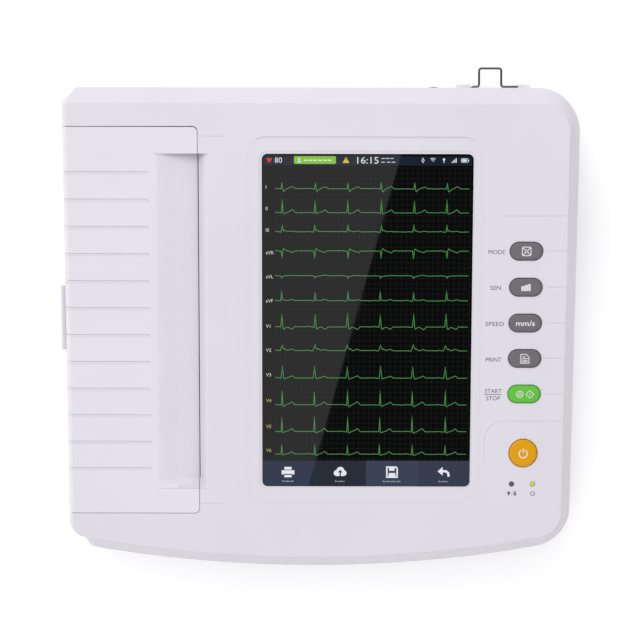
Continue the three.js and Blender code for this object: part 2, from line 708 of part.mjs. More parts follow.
// The body's half of the hinge: a leaf inside the side wall with a barrel at each station.
function hingeBracket() {
  const leafU = [-164.6, -163.1];
  const spans = HINGE.stations.map((v) => [v - KNUCKLE_LENGTH / 2, v + KNUCKLE_LENGTH / 2]);
  const leaf = box(leafU, [spans[0][0], spans[1][1]], [-40, -25]);
  const tabs = spans.map((span) => box(leafU, span, [-26, HINGE.w]));
  const barrels = spans.map((span) => rodY(HINGE_AXIS, HINGE.knuckle, span, 12));
  return cut(join(leaf, tabs, barrels), rodY(HINGE_AXIS, HINGE.pin + GAP, [-110, 110], 10));
}

const hingePin = () => rodY(HINGE_AXIS, HINGE.pin, [-PIN_REACH, PIN_REACH], 8);

const LATCH_FACE = -162.5;

function releaseButton() {
  const { front, rear, low, high, out } = RELEASE;
  const flangeIn = LATCH_FACE - GAP;
  const stem = prismAlongY(filleted([
    [out, low + 0.6, 1.4], [out + 6, low, 0], [flangeIn, low, 0],
    [flangeIn, high, 0], [out, high, 1.6],
  ]), [front, rear], 3);
  const flange = box([flangeIn - 1, flangeIn], [front - 2, rear + 2], [low + 0.1, high + 1.6]);
  return join(stem, flange);
}

// One long bar under the cover with an arm at each end, pushed across by the button.
function latchBar() {
  const bar = box([LATCH_FACE, -157.5], [-121, 119], [-5.8, -3.4]);
  const plate = box([LATCH_FACE, -161], [-18, 17], [-17, -3.4]);
  const arms = [[-121, -117], [115, 119]].map((v) => box([-160, -86], v, [-5.8, -3.4]));
  return join(bar, plate, arms);
}

const releaseSpring = () => coilX([-161 + GAP, -153.1], [-0.6, -10], 2.5, 0.4, 4);

// ---------------------------------------------------------------- platen

const CHEEK = { inner: 108.8, outer: 110.8 };

// A bent sheet behind the platen with a cheek at each end that holds a bearing.
function coverFrame() {
  const back = box([-98, -96.5], [-CHEEK.outer, CHEEK.outer], [-24, -9]);
  const flange = box([-108, -96.5], [-CHEEK.outer, CHEEK.outer], [-10.5, -9]);
  const cheeks = [[-CHEEK.outer, -CHEEK.inner], [CHEEK.inner, CHEEK.outer]].map((v) => (
    box([-98, -80.4], v, [-24, -9.6])
  ));
  const bores = rodY([PLATEN.u, PLATEN.w], 4.5, [-120, 120], 20);
  return cut(join(back, flange, cheeks), bores);
}

// A flanged bush in the cheek at the side given by sign.
function platenBearing(sign) {
  const span = (from, to) => [Math.min(sign * from, sign * to), Math.max(sign * from, sign * to)];
  const at = [PLATEN.u, PLATEN.w];
  const bush = rodY(at, 4.2, span(107.3, 111.4), 16);
  const flange = rodY(at, 5.6, span(107.3, CHEEK.inner - GAP), 16);
  return cut(join(bush, flange), rodY(at, SHAFT_RADIUS + GAP, [-120, 120], 16));
}

const platenShaft = () => rodY([PLATEN.u, PLATEN.w], SHAFT_RADIUS, [-113, 118.4], 16);

function platenRoller() {
  const tube = rodY([PLATEN.u, PLATEN.w], PLATEN.radius, [-PLATEN.half, PLATEN.half], 32);
  return cut(tube, rodY([PLATEN.u, PLATEN.w], SHAFT_RADIUS + GAP, [-120, 120], 16));
}

// A spur gear along v, with one tooth centred on the angle phase.
function gear(at, teeth, bore, phase, [v0, v1]) {
  const pitch = (GEAR_MODULE * teeth) / 2;
  const tip = pitch + 0.8 * GEAR_MODULE;
  const foot = pitch - 1.1 * GEAR_MODULE;
  const step = (Math.PI * 2) / teeth;
  const shape = new THREE.Shape();
  const flank = [[foot, -0.29], [pitch, -0.22], [tip, -0.1], [tip, 0.1], [pitch, 0.22], [foot, 0.29]];
  for (let i = 0; i < teeth; i += 1) {
    flank.forEach(([radius, share], j) => {
      const angle = phase + (i + share) * step;
      const x = at[0] + radius * Math.cos(angle);
      const y = at[1] + radius * Math.sin(angle);
      if (i + j === 0) shape.moveTo(x, y);
      else shape.lineTo(x, y);
    });
  }
  shape.closePath();
  const wheel = prismAlongY(shape, [v0, v1]);
  return bore ? cut(wheel, rodY(at, bore, [v0 - 1, v1 + 1], 16)) : wheel;
}

const GEAR_DISTANCE = (GEAR_MODULE * (PLATEN_TEETH + PINION_TEETH)) / 2 + GEAR_BACKLASH;
const PINION_AT = [
  PLATEN.u + GEAR_DISTANCE * Math.cos(MESH_ANGLE),
  PLATEN.w + GEAR_DISTANCE * Math.sin(MESH_ANGLE),
];

const platenGear = () => gear(
  [PLATEN.u, PLATEN.w], PLATEN_TEETH, SHAFT_RADIUS + GAP, MESH_ANGLE,
  [GEAR_REAR - GEAR_WIDTH, GEAR_REAR],
);

// The rotor: a pinion with a tooth gap facing the platen gear, on the motor's shaft.
function motorRotor() {
  const phase = MESH_ANGLE + Math.PI + Math.PI / PINION_TEETH;
  const pinion = gear(PINION_AT, PINION_TEETH, 0, phase, [GEAR_REAR - GEAR_WIDTH, GEAR_REAR]);
  return join(pinion, rodY(PINION_AT, 1.5, [GEAR_REAR - 1, MOTOR.front + 9], 12));
}

function stepperMotor() {
  const can = rodY(PINION_AT, MOTOR.radius, [MOTOR.front, MOTOR.rear], 24);
  const connector = box(
    [PINION_AT[0] - 4, PINION_AT[0] + 4],
    [MOTOR.front + 5, MOTOR.front + 15],
    [PINION_AT[1] - MOTOR.radius - 4, PINION_AT[1]],
  );
  return cut(join(can, connector), rodY(PINION_AT, 1.8, [MOTOR.front - 1, MOTOR.front + 9.3], 12));
}

// ---------------------------------------------------------------- printer in the body

function printerFrame() {
  const top = -10.5;
  const bottom = -45;
  const wall = box([-60.5, -59], [-112.5, MOTOR_PLATE.rear], [bottom, top]);
  const foot = box([-78, -59], [-112.5, MOTOR_PLATE.rear], [bottom, bottom + 1.5]);
  const front = box([-78, -59], [-112.5, -111], [bottom, top]);
  const motorPlate = box([-92, -59], [MOTOR_PLATE.front, MOTOR_PLATE.rear], [bottom, top]);
  const shaftHole = rodY(PINION_AT, 3, [110, 130], 16);
  return cut(join(wall, foot, front, motorPlate), shaftHole);
}

const printHead = () => box([-78.7, -75.2], [-108, 108], [-21, -9.5]);

function heatSink() {
  const base = box([-74.9, -72], [-108, 108], [-23, -9.5]);
  const fins = [-22.6, -19.4, -12.6].map((w) => box([-73, -67], [-108, 108], [w, w + 1.4]));
  return join(base, fins);
}

const headSpring = (v) => coilX([-72 + GAP, -60.5 - GAP], [v, -15.6], 1.9, 0.4, 4);

function tearBar() {
  const blade = [[-78.95, -8.6], [-78.4, -8.6], [-78.4, -5.9], [-78.95, -5.5]];
  const shape = new THREE.Shape(blade.map(([u, w]) => new THREE.Vector2(u, w)));
  return prismAlongY(shape, [-106, 106]);
}

function paperBin() {
  const { left, right, front, rear, bottom, top, wall } = BIN;
  const profile = (inset, lid) => filleted([
    [left + inset, bottom + inset, 20 - inset],
    [right - inset, bottom + inset, 14 - inset],
    [right - inset, lid, 0],
    [left + inset, lid, 0],
  ]);
  const trough = cut(
    prismAlongY(profile(0, top), [front, rear], 4),
    prismAlongY(profile(wall, top + 5), [front + wall, rear - wall], 4),
  );
  const notch = SPINDLE.axle + 0.4;
  const across = [front - 5, rear + 5];
  const notches = join(
    box([SPINDLE.u - notch, SPINDLE.u + notch], across, [SPINDLE.w, top + 5]),
    rodY([SPINDLE.u, SPINDLE.w], notch, across, 12),
  );
  return cut(trough, notches);
}

function paperSpindle() {
  const at = [SPINDLE.u, SPINDLE.w];
  const flanges = [[-107.6, -106], [104, 105.6]].map((v) => rodY(at, SPINDLE.flange, v, 20));
  return join(
    rodY(at, SPINDLE.radius, [-107, 105], 12),
    rodY(at, SPINDLE.axle, [BIN.front + 0.4, BIN.rear - 0.4], 12),
    flanges,
  );
}

// ---------------------------------------------------------------- screen and boards

const screenSlab = (grow, [w0, w1], corner = SCREEN.corner) => prism(roundedRectangle(
  [SCREEN.u - SCREEN.width / 2 - grow, SCREEN.u + SCREEN.width / 2 + grow],
  [SCREEN.v - SCREEN.height / 2 - grow, SCREEN.v + SCREEN.height / 2 + grow],
  corner,
), [w0, w1], 3);

const GLASS_BOTTOM = GLASS_TOP - GLASS_THICKNESS;
const GASKET_BOTTOM = GLASS_BOTTOM - GAP - 0.8;
const MODULE_TOP = GASKET_BOTTOM - GAP;
const MODULE_BOTTOM = MODULE_TOP - 4.2;
const DISPLAY_BRACKET_TOP = MODULE_BOTTOM - GAP;
const MAIN_BOARD_TOP = -17;

const touchGlass = () => (
  screenSlab(GLASS_MARGIN, [GLASS_BOTTOM, GLASS_TOP], SCREEN.corner + GLASS_MARGIN)
);

const screenGasket = () => cut(
  screenSlab(GLASS_MARGIN, [GASKET_BOTTOM, GLASS_BOTTOM - GAP]),
  screenSlab(-1.5, [GASKET_BOTTOM - 1, GLASS_BOTTOM]),
);

function displayBracket() {
  const plate = screenSlab(4, [DISPLAY_BRACKET_TOP - 1.2, DISPLAY_BRACKET_TOP]);
  const window = screenSlab(-22, [DISPLAY_BRACKET_TOP - 2, DISPLAY_BRACKET_TOP + 1]);
  const standoffs = [[-30, -50], [92, -50], [-30, 90], [92, 90]].map(([u, v]) => (
    rodZ([u, v], 3, [MAIN_BOARD_TOP + GAP, DISPLAY_BRACKET_TOP - 1], 10)
  ));
  return join(cut(plate, window), standoffs);
}

function mainBoard() {
  const board = box([-36, 98], [-56, 96], [MAIN_BOARD_TOP - 1.6, MAIN_BOARD_TOP]);
  const under = MAIN_BOARD_TOP - 1.4;
  const chips = [
    [20, 44, 10, 34, 4], [-20, 0, 20, 34, 3], [55, 85, -40, -20, 6], [-25, 5, -45, -25, 5],
    [60, 80, 40, 75, 8], [15, 35, -40, -28, 3],
  ].map(([u0, u1, v0, v1, tall]) => box([u0, u1], [v0, v1], [under - tall, under]));
  return join(board, chips);
}

function keyBoard() {
  const { left, right, front, rear, top, thickness } = KEY_BOARD;
  const board = box([left, right], [front, rear], [top - thickness, top]);
  const switches = [...KEYS, POWER_KEY].map(({ v }) => (
    box([KEY_U - 3, KEY_U + 3], [v - 3, v + 3], [top - 0.5, SWITCH_TOP])
  ));
  return join(board, switches);
}

// A cap with a softened edge, a flange that keeps it in, and a stem over its switch.
function keyBody(capShape, flangeShape, at) {
  const soften = 0.6;
  const under = -WALL - GAP;
  const cap = solid(new THREE.ExtrudeGeometry(capShape, {
    depth: KEY_PROUD - soften - under,
    bevelThickness: soften,
    bevelSize: soften,
    bevelOffset: -soften,
    bevelSegments: 1,
    curveSegments: 4,
  }).translate(0, 0, under));
  const flange = prism(flangeShape, [under - 1.2, under - 0.1], 5);
  const stem = rodZ(at, 2.5, [SWITCH_TOP + 1.1, under - 1], 10);
  return join(cap, flange, stem);
}

function functionKey(v) {
  const flange = capsule(KEY_U, v, KEY_LENGTH + 3, KEY_WIDTH + 3);
  return keyBody(capsule(KEY_U, v, KEY_LENGTH, KEY_WIDTH), flange, [KEY_U, v]);
}

function circle(x, y, radius) {
  const shape = new THREE.Shape();
  shape.absarc(x, y, radius, 0, Math.PI * 2, false);
  return shape;
}

function powerKey() {
  const { v, radius } = POWER_KEY;
  return keyBody(circle(KEY_U, v, radius), circle(KEY_U, v, radius + 1.8), [KEY_U, v]);
}

// A light pipe from the key board to the panel face, with a rounded end.
function lamp(u) {
  const profile = [[0, -7.6], [LAMP_RADIUS, -7.6], [LAMP_RADIUS, -0.1], [1.1, 0.25], [0, 0.4]];
  const points = profile.map(([radius, w]) => new THREE.Vector2(radius, w));
  return solid(new THREE.LatheGeometry(points, 12).rotateX(Math.PI / 2).translate(u, LAMP_V, 0));
}

// ---------------------------------------------------------------- power, in the level frame

function batteryCover() {
  const { left, right, front, rear } = BATTERY;
  const reach = BATTERY_LEDGE - 0.4;
  const plate = box(
    [left - reach, right + reach],
    [front - reach, rear + reach + 3],
    [FLOOR_BOTTOM + 0.1, FLOOR_BOTTOM + 1.3],
  );
  const holes = BATTERY_SCREWS.map(([, x]) => rodZ([x, BATTERY_SCREW_Y], 1.4, [0, 8], 8));
  const grip = [0, 4, 8].map((dy) => (
    box([2, 18], [front + 4 + dy, front + 6 + dy], [0, FLOOR_BOTTOM + 0.6])
  ));
  return cut(plate, holes, grip);
}

const smallScrew = (x, y, head, [z0, z1], shank) => join(
  rodZ([x, y], head, [z0, z0 + 1.6], 12),
  rodZ([x, y], shank, [z0 + 1, z1], 8),
);

const batteryPack = () => prism(roundedRectangle(
  [BATTERY.left + 2, BATTERY.right - 2], [BATTERY.front + 2, BATTERY.rear - 2], 4,
), [FLOOR_BOTTOM + 1.9, BATTERY.top], 3);

function powerSupply() {
  const board = box([62, 148], [64, 121], [11.9, 13.5]);
  const parts = [
    box([70, 98], [72, 104], [13, 36]),
    box([108, 114], [70, 116], [13, 33]),
    rodZ([128, 80], 8, [13, 38], 12),
    rodZ([128, 102], 6, [13, 32], 12),
    box([72, 92], [108, 118], [13, 24]),
  ];
  return join(board, parts);
}

function mainsInlet() {
  const { x, z, width, height, flange, depth } = INLET;
  const at = (half) => [x - half, x + half];
  const up = (half) => [z - half, z + half];
  const outer = REAR_WALL + GAP;
  const plate = box(at(width / 2), [outer, outer + flange], up(height / 2));
  const body = box(at(13.7), [REAR_WALL - depth, outer + 0.5], up(9.7));
  const cavity = cut(
    box(at(11.9), [REAR_WALL - 17, outer + 5], up(7.9)),
    [[-7, 0], [0, 2.5], [7, 0]].map(([dx, dz]) => (
      box([x + dx - 1, x + dx + 1], [REAR_WALL - 18, REAR_WALL - 1], [z + dz - 2, z + dz + 2])
    )),
  );
  return cut(join(plate, body), cavity);
}

// The wire bail that swings down over the plug and keeps it in.
function cordBail() {
  const { y, top, arm, middle, loop, rear, wire, bend } = BAIL;
  const at = (dx, py, z) => new THREE.Vector3(INLET.x + dx, py, z);
  return bentWire([
    at(-BRACKET.inner - 2.6, y, INLET.z), at(-arm, y, INLET.z), at(-arm, y, top),
    at(middle - loop, y, top), at(middle - loop, rear, top),
    at(middle + loop, rear, top), at(middle + loop, y, top),
    at(arm, y, top), at(arm, y, INLET.z), at(BRACKET.inner + 2.6, y, INLET.z),
  ], bend, wire, 60);
}

function bailBracket(sign) {
  const low = INLET.x + sign * BRACKET.inner;
  const high = INLET.x + sign * BRACKET.outer;
  const x = [Math.min(low, high), Math.max(low, high)];
  const y = [REAR_WALL + GAP, BRACKET.rear];
  const block = box(x, y, [INLET.z - BRACKET.half, INLET.z + BRACKET.half]);
  const bore = [low - sign, low + sign * 3.4].sort((a, b) => a - b);
  return cut(block, rodX([BAIL.y, INLET.z], BAIL.wire + GAP, bore, 10));
}

function earthTerminal() {
  const at = [EARTH.x, EARTH.z];
  return join(
    rodY(at, 3, [REAR_WALL - 8, REAR_WALL + 3], 12),
    rodY(at, 6, [REAR_WALL + GAP, REAR_WALL + 2], 6),
    rodY(at, 6, [REAR_WALL - 6, REAR_WALL - WALL - 1.2], 6),
  );
}

function socket({ x, z, width, height }, holes) {
  const face = REAR_WALL + 0.2;
  const body = box([x - width / 2, x + width / 2], [face - 18, face], [z - height / 2, z + height / 2]);
  return cut(body, holes.map(([dx, dz, w, h]) => (
    box([x + dx - w / 2, x + dx + w / 2], [face - 13, face + 1], [z + dz - h / 2, z + dz + h / 2])
  )));
}

function usbPort() {
  const { x, z } = PORTS.usb_port;
  const tongues = [-3.9, 3.9].map((dz) => (
    box([x - 5.2, x + 5.2], [REAR_WALL - 14, REAR_WALL - 3], [z + dz + 1.6, z + dz + 2.8])
  ));
  return join(socket(PORTS.usb_port, [[0, -3.9, 12.6, 5.8], [0, 3.9, 12.6, 5.8]]), tongues);
}

const networkPort = () => socket(PORTS.network_port, [[0, -0.6, 12, 8.4], [0, 4, 6, 3]]);

// A recessed plate behind the right wall that carries a D-shaped connector shell.
function patientConnector() {
  const { wall, y, z, width, height } = PATIENT;
  const wide = [y - width / 2 - 3, y + width / 2 + 3];
  const plate = box([wall - 5.4, wall - 3.8], wide, [z - height / 2 - 2, z + height / 2 + 2]);
  const dee = (grow) => filleted([
    [y - 12 - grow, z - 4 - grow, 2], [y + 12 + grow, z - 4 - grow, 2],
    [y + 13.5 + grow, z + 4 + grow, 2], [y - 13.5 - grow, z + 4 + grow, 2],
  ]);
  const along = (shape, [x0, x1]) => {
    const options = { depth: x1 - x0, bevelEnabled: false, curveSegments: 3 };
    const geometry = new THREE.ExtrudeGeometry(shape, options).rotateX(Math.PI / 2);
    return solid(geometry.rotateZ(Math.PI / 2).translate(x0, 0, 0));
  };
  const shell = along(dee(0.8), [wall - 6, wall - 0.8]);
  const back = box([wall - 16, wall - 5], [y - 16, y + 16], [z - 6, z + 6]);
  return cut(join(plate, shell, back), along(dee(0), [wall - 9, wall]));
}

const speaker = () => join(
  rodZ([SPEAKER.x, SPEAKER.y], SPEAKER.radius, [FLOOR_TOP + GAP, FLOOR_TOP + 3], 20),
  rodZ([SPEAKER.x, SPEAKER.y], 9, [FLOOR_TOP + 2.5, FLOOR_TOP + 8], 16),
);

// A rubber foot with a plug that holds it in the floor.
const foot = (x, y) => join(
  rodZ([x, y], 8, [0, FLOOR_BOTTOM - GAP], 20),
  rodZ([x, y], 2, [FLOOR_BOTTOM - 1, FLOOR_TOP + 2], 10),
);

// ---------------------------------------------------------------- assembly

place(panel, 'top_cover', topCover(), shellPlastic);
place(panel, 'base_shell', baseShell(), shellPlastic);
place(panel, 'paper_cover', paperCover(), coverPlastic);
place(panel, 'release_button', releaseButton(), coverPlastic);
place(panel, 'latch_bar', latchBar(), whitePlastic);
place(panel, 'release_spring', releaseSpring(), steel);
['front', 'rear'].forEach((end, i) => {
  place(panel, `platen_bearing_${end}`, platenBearing(i ? 1 : -1), whitePlastic);
  place(panel, `head_spring_${end}`, headSpring(i ? 60 : -60), steel);
});
place(panel, 'hinge_bracket', hingeBracket(), steel);
place(panel, 'hinge_pin', hingePin(), darkSteel);
place(panel, 'cover_frame', coverFrame(), steel);
place(panel, 'platen_shaft', platenShaft(), steel);
place(panel, 'platen_roller', platenRoller(), rubber);
place(panel, 'platen_gear', platenGear(), whitePlastic);
place(panel, 'motor_rotor', motorRotor(), brass);
place(panel, 'stepper_motor', stepperMotor(), darkSteel);
place(panel, 'printer_frame', printerFrame(), steel);
place(panel, 'print_head', printHead(), ceramicWhite);
place(panel, 'heat_sink', heatSink(), aluminium);
place(panel, 'tear_bar', tearBar(), steel);
place(panel, 'paper_bin', paperBin(), whitePlastic);
place(panel, 'paper_spindle', paperSpindle(), blackPlastic);
place(panel, 'touch_glass', touchGlass(), glassBlack);
place(panel, 'screen_gasket', screenGasket(), foam);
place(panel, 'display_module', screenSlab(3.5, [MODULE_BOTTOM, MODULE_TOP]), aluminium);
place(panel, 'display_bracket', displayBracket(), steel);
place(panel, 'main_board', mainBoard(), boardGreen);
place(panel, 'key_board', keyBoard(), boardGreen);
KEYS.forEach(({ name, v }) => {
  place(panel, name, functionKey(v), name === 'start_stop_key' ? greenKeyPlastic : darkKeyPlastic);
});
place(panel, 'power_key', powerKey(), orangeKeyPlastic);
LAMPS.forEach(({ name, u }, i) => place(panel, name, lamp(u), i ? lampGreen : lampDark));
place(root, 'power_supply_board', powerSupply(), boardGreen);
place(root, 'mains_inlet', mainsInlet(), blackPlastic);
place(root, 'cord_bail', cordBail(), steel);
place(root, 'bail_bracket_left', bailBracket(-1), whitePlastic);
place(root, 'bail_bracket_right', bailBracket(1), whitePlastic);
place(root, 'earth_terminal', earthTerminal(), brass);
place(root, 'usb_port', usbPort(), steel);
place(root, 'network_port', networkPort(), blackPlastic);
place(root, 'patient_connector', patientConnector(), darkSteel);
place(root, 'speaker', speaker(), blackPlastic);
place(root, 'battery_pack', batteryPack(), batteryWrap);
place(root, 'battery_cover', batteryCover(), shellPlastic);
BATTERY_SCREWS.forEach(([name, x]) => {
  place(root, name, smallScrew(x, BATTERY_SCREW_Y, 2.4, [FLOOR_BOTTOM - 1.8, 9], 1), darkSteel);
});
SCREWS.forEach(([name, x, y]) => place(root, name, smallScrew(x, y, 3, [7, 26], 1.5), darkSteel));
FEET.forEach(([name, x, y]) => place(root, name, foot(x, y), rubber));

export default root;
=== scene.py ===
import math

import bmesh
import bpy
from mathutils import Matrix, Vector


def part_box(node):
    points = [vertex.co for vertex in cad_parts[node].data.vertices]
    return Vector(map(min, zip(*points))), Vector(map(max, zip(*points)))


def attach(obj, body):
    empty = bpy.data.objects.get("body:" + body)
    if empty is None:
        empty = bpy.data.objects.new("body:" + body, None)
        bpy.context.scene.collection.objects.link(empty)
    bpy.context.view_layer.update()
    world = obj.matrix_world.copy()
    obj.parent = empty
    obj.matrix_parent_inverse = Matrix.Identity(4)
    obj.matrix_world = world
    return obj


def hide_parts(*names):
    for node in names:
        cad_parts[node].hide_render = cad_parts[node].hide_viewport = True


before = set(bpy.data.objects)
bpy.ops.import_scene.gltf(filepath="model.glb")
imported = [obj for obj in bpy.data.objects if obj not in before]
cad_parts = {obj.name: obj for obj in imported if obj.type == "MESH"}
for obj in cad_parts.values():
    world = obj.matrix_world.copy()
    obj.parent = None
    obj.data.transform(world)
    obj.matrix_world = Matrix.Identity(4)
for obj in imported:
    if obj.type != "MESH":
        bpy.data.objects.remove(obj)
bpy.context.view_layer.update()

# ---------------- driving dimensions, mm

MM = 0.001
SLOPE = math.radians(4)
ORIGIN = Vector((1.55, -0.3, 72.0))  # the panel's own origin, in the frame
PANEL = Matrix.Scale(MM, 4) @ Matrix.Translation(ORIGIN) @ Matrix.Rotation(SLOPE, 4, "X")
LEVEL = Matrix.Scale(MM, 4) @ Matrix.Translation((ORIGIN.x, ORIGIN.y, 0))
LEVEL_TO_PANEL = PANEL.inverted() @ LEVEL


def panel_span(node):
    """Lowest and highest u, v and w of a CAD node."""
    back = PANEL.inverted()
    points = [back @ vertex.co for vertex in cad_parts[node].data.vertices]
    return [(min(p[i] for p in points), max(p[i] for p in points)) for i in range(3)]


def panel_centre(node):
    (u0, u1), (v0, v1), _ = panel_span(node)
    return (u0 + u1) / 2, (v0 + v1) / 2


def around(middle, half):
    return middle - half, middle + half


def grown(span, gap):
    """A span made longer by a gap at both ends."""
    return span[0] - gap, span[1] + gap


LEFT = -168.0
RIGHT = 170.9
FRONT = -170.6
REAR = 150.8
REAR_FLARE = 0.9  # the left side stands out this much more at the rear
FRONT_TUCK = 2.3  # and the right side this much less at the front, at the belt
FACE_TUCK = 1.4  # and this much less there at the face
BELT = 22.0
WALL = 2.6
RIGHT_CHAMFER = 9.0
FRONT_CHAMFER = 11.4
REAR_CHAMFER = 10.0
REAR_CHAMFER_DEPTH = 12.0
FRONT_ARC = 860.0
FRONT_MIDDLE = -5.6
FRONT_RIGHT_RADIUS = 27.0
REAR_RIGHT_RADIUS = 29.0
CORNER_SHRINK = 10.0
CHIN_LEFT = -157.7
CHIN_RADIUS = 8.0
LEFT_ROUND = 5.5
LEFT_ROUND_DEPTH = 20.0
REAR_LEFT_CUT = 9.3
TOP_CORNER_CUT = 1.0
FRONT_LEFT_RADIUS = 9.0
EDGE_ROUND = 1.8  # the soft edge where a chamfer meets the face
CHIN_SLANT = 0.34  # the front wall of the base runs back this much for each mm down
BASE_FRONT = FRONT + 11
BASE_REAR = 152.4
BASE_CORNER = 24.0
BASE_CHAMFER = 5.0
FLOOR_BOTTOM = 3.0
FLOOR_TOP = 5.6

COVER_RIGHT = -79.6
COVER_REAR = 125.4
COVER_FRONT = -129.3
COVER_BOTTOM = -21.3
COVER_CORNER = 3.2
COVER_SKIRT = 2.4
SEAM = 0.25
REAR_SEAM = 0.5  # the seam is widest behind the cover's right end
LEDGE = 0.7
SCOOP_LEFT = -109.0
SCOOP_REAR = 108.2
SCOOP_FRONT = -105.5
SCOOP_TOE = -112.5
SCOOP_DEPTH = 6.2
SCOOP_FAR = -72.6
GROOVE_COUNT = 12
GROOVE_REAR = 95.8
GROOVE_PITCH = 17.75
GROOVE_RIGHT = -111.5
GROOVE_WIDTH = 1.5
GROOVE_DEPTH = 0.24
HINGE = (-165.8, -20.2)
HINGE_STATIONS = (-80, 80)
KNUCKLE = 12.0

GLASS_U, GLASS_V, (_, GLASS_TOP) = panel_span("touch_glass")
SCREEN_MARGIN = 2.4  # the glass reaches this far under the lip
LOWER_MARGIN = SCREEN_MARGIN - 0.7  # and this far at the lower edge
SCREEN_U = grown(GLASS_U, -SCREEN_MARGIN)
SCREEN_V = (GLASS_V[0] + LOWER_MARGIN, GLASS_V[1] - SCREEN_MARGIN)
SCREEN_WIDTH = SCREEN_U[1] - SCREEN_U[0]
SCREEN_HEIGHT = SCREEN_V[1] - SCREEN_V[0]
SCREEN_CORNER = 3.6
LIP = 1.8
SURROUND_U = (-46.5, 104.8)
SURROUND_V = (-122.5, 119.0)
SURROUND_DEPTH = 0.5

KEYS = ("mode_key", "sensitivity_key", "speed_key", "print_key", "start_stop_key")
ALL_KEYS = (*KEYS, "power_key")
KEY_U = panel_centre("mode_key")[0]
KEY_LENGTH = 21.6
KEY_WIDTH = 12.0
POWER_RADIUS = 9.4
LAMPS = ("charge_lamp", "mains_lamp")
LAMP_RADIUS = 1.5

END_NAMES = ("rear", "front")
SIDE_NAMES = ("left", "right")
CASE_SCREWS = [f"case_screw_{end}_{side}" for end in END_NAMES for side in SIDE_NAMES]
BATTERY_SCREWS = [f"battery_cover_screw_{side}" for side in SIDE_NAMES]
FEET = [f"foot_{end}_{side}" for end in END_NAMES for side in SIDE_NAMES]

# ---------------- outlines


def arc(u, v, radius, start, sweep, steps):
    angles = [start + sweep * k / steps for k in range(steps + 1)]
    return [(u + radius * math.cos(a), v + radius * math.sin(a)) for a in angles]


def circle(u, v, radius, segments=48):
    return arc(u, v, radius, 0, math.tau, segments)[:-1]


def capsule(u, v, length, width, segments=20):
    """A capsule lying along u."""
    radius = width / 2
    reach = length / 2 - radius
    right_end = arc(u + reach, v, radius, -math.pi / 2, math.pi, segments)
    return right_end + arc(u - reach, v, radius, math.pi / 2, math.pi, segments)


def oblong(u, v):
    return [(u[0], v[0]), (u[1], v[0]), (u[1], v[1]), (u[0], v[1])]


def filleted(corners, segments=8):
    """An outline through corners (x, y, radius), with an arc at each corner that has a radius."""
    points = []
    for i, (x, y, radius) in enumerate(corners):
        if radius <= 0:
            points.append((x, y))
            continue
        here = Vector((x, y))
        back = (Vector(corners[i - 1][:2]) - here).normalized()
        ahead = (Vector(corners[(i + 1) % len(corners)][:2]) - here).normalized()
        half = back.angle(ahead) / 2
        middle = (back + ahead).normalized() * (radius / math.sin(half))
        reach = radius / math.tan(half)
        first, last = (math.atan2(*reversed(side * reach - middle)) for side in (back, ahead))
        sweep = (last - first + math.pi) % math.tau - math.pi
        points += arc(x + middle.x, y + middle.y, radius, first, sweep, segments)
    return points


def rounded(u, v, radius, segments=8):
    return filleted([(x, y, radius) for x, y in oblong(u, v)], segments)


def at_level(outline, w):
    return [(x, y, w) for x, y in outline]


# ---------------- mesh helpers


def placed(name, data):
    """A new object in the scene."""
    thing = bpy.data.objects.new(name, data)
    bpy.context.scene.collection.objects.link(thing)
    return thing


def modify(thing, name, kind, **settings):
    step = thing.modifiers.new(name, kind)
    for key, value in settings.items():
        setattr(step, key, value)


def evaluated_mesh(thing):
    return bpy.data.meshes.new_from_object(thing.evaluated_get(bpy.context.evaluated_depsgraph_get()))


def solid(points, faces):
    """A working object in panel millimetres, with its faces turned outwards."""
    mesh = bpy.data.meshes.new("work")
    mesh.from_pydata([tuple(p) for p in points], [], faces)
    build = bmesh.new()
    build.from_mesh(mesh)
    bmesh.ops.remove_doubles(build, verts=build.verts, dist=1e-5)
    bmesh.ops.recalc_face_normals(build, faces=build.faces)
    build.to_mesh(mesh)
    build.free()
    return placed("work", mesh)


def loft(rings):
    """A closed solid through rings of equally many points, listed from the top down."""
    count = len(rings[0])
    points = [p for ring in rings for p in ring]
    faces = [tuple(range(count)), tuple(reversed(range(len(points) - count, len(points))))]
    for upper in range(0, len(points) - count, count):
        lower = upper + count
        for i in range(count):
            j = (i + 1) % count
            faces.append((upper + i, lower + i, lower + j, upper + j))
    return solid(points, faces)


def stepped(ring, profile):
    """A closed solid through ring(size) at each (size, height) of a profile."""
    return loft([at_level(ring(size), w) for size, w in profile])


def prism(outline, bottom, top):
    return loft([at_level(outline, w) for w in (top, bottom)])


def box(u, v, w):
    return prism(oblong(u, v), *w)


def rod(centre, radius, span, axis, segments=32):
    """A cylinder along axis 0, 1 or 2 with its centre given in the other two axes."""
    def place(point, end):
        return (*point[:axis], end, *point[axis:])
    outline = circle(*centre, radius, segments)
    return loft([[place(point, end) for point in outline] for end in reversed(span)])


def combine(body, tools, operation):
    """Cuts, joins or trims the body by each tool in turn. The tools are used up."""
    for tool in tools:
        modify(body, "step", "BOOLEAN", operation=operation, solver="MANIFOLD", object=tool)
        mesh = evaluated_mesh(body)
        body.modifiers.clear()
        spent = [body.data, tool.data]
        body.data = mesh
        bpy.data.objects.remove(tool)
        for old in spent:
            bpy.data.meshes.remove(old)
    return body


def cut(body, *tools):
    return combine(body, tools, "DIFFERENCE")


def join(body, *tools):
    return combine(body, tools, "UNION")


def trim(body, tool):
    return combine(body, [tool], "INTERSECT")


def levelled(thing):
    """Turns a solid that was made upright, from the floor up, into the panel frame."""
    thing.data.transform(LEVEL_TO_PANEL)
    return thing


def level_box(u, v, w):
    return levelled(box(u, v, w))


def level_rod(centre, radius, span):
    return levelled(rod(centre, radius, span, 2, 24))


MERGE = 0.002
FLAT = math.radians(0.4)


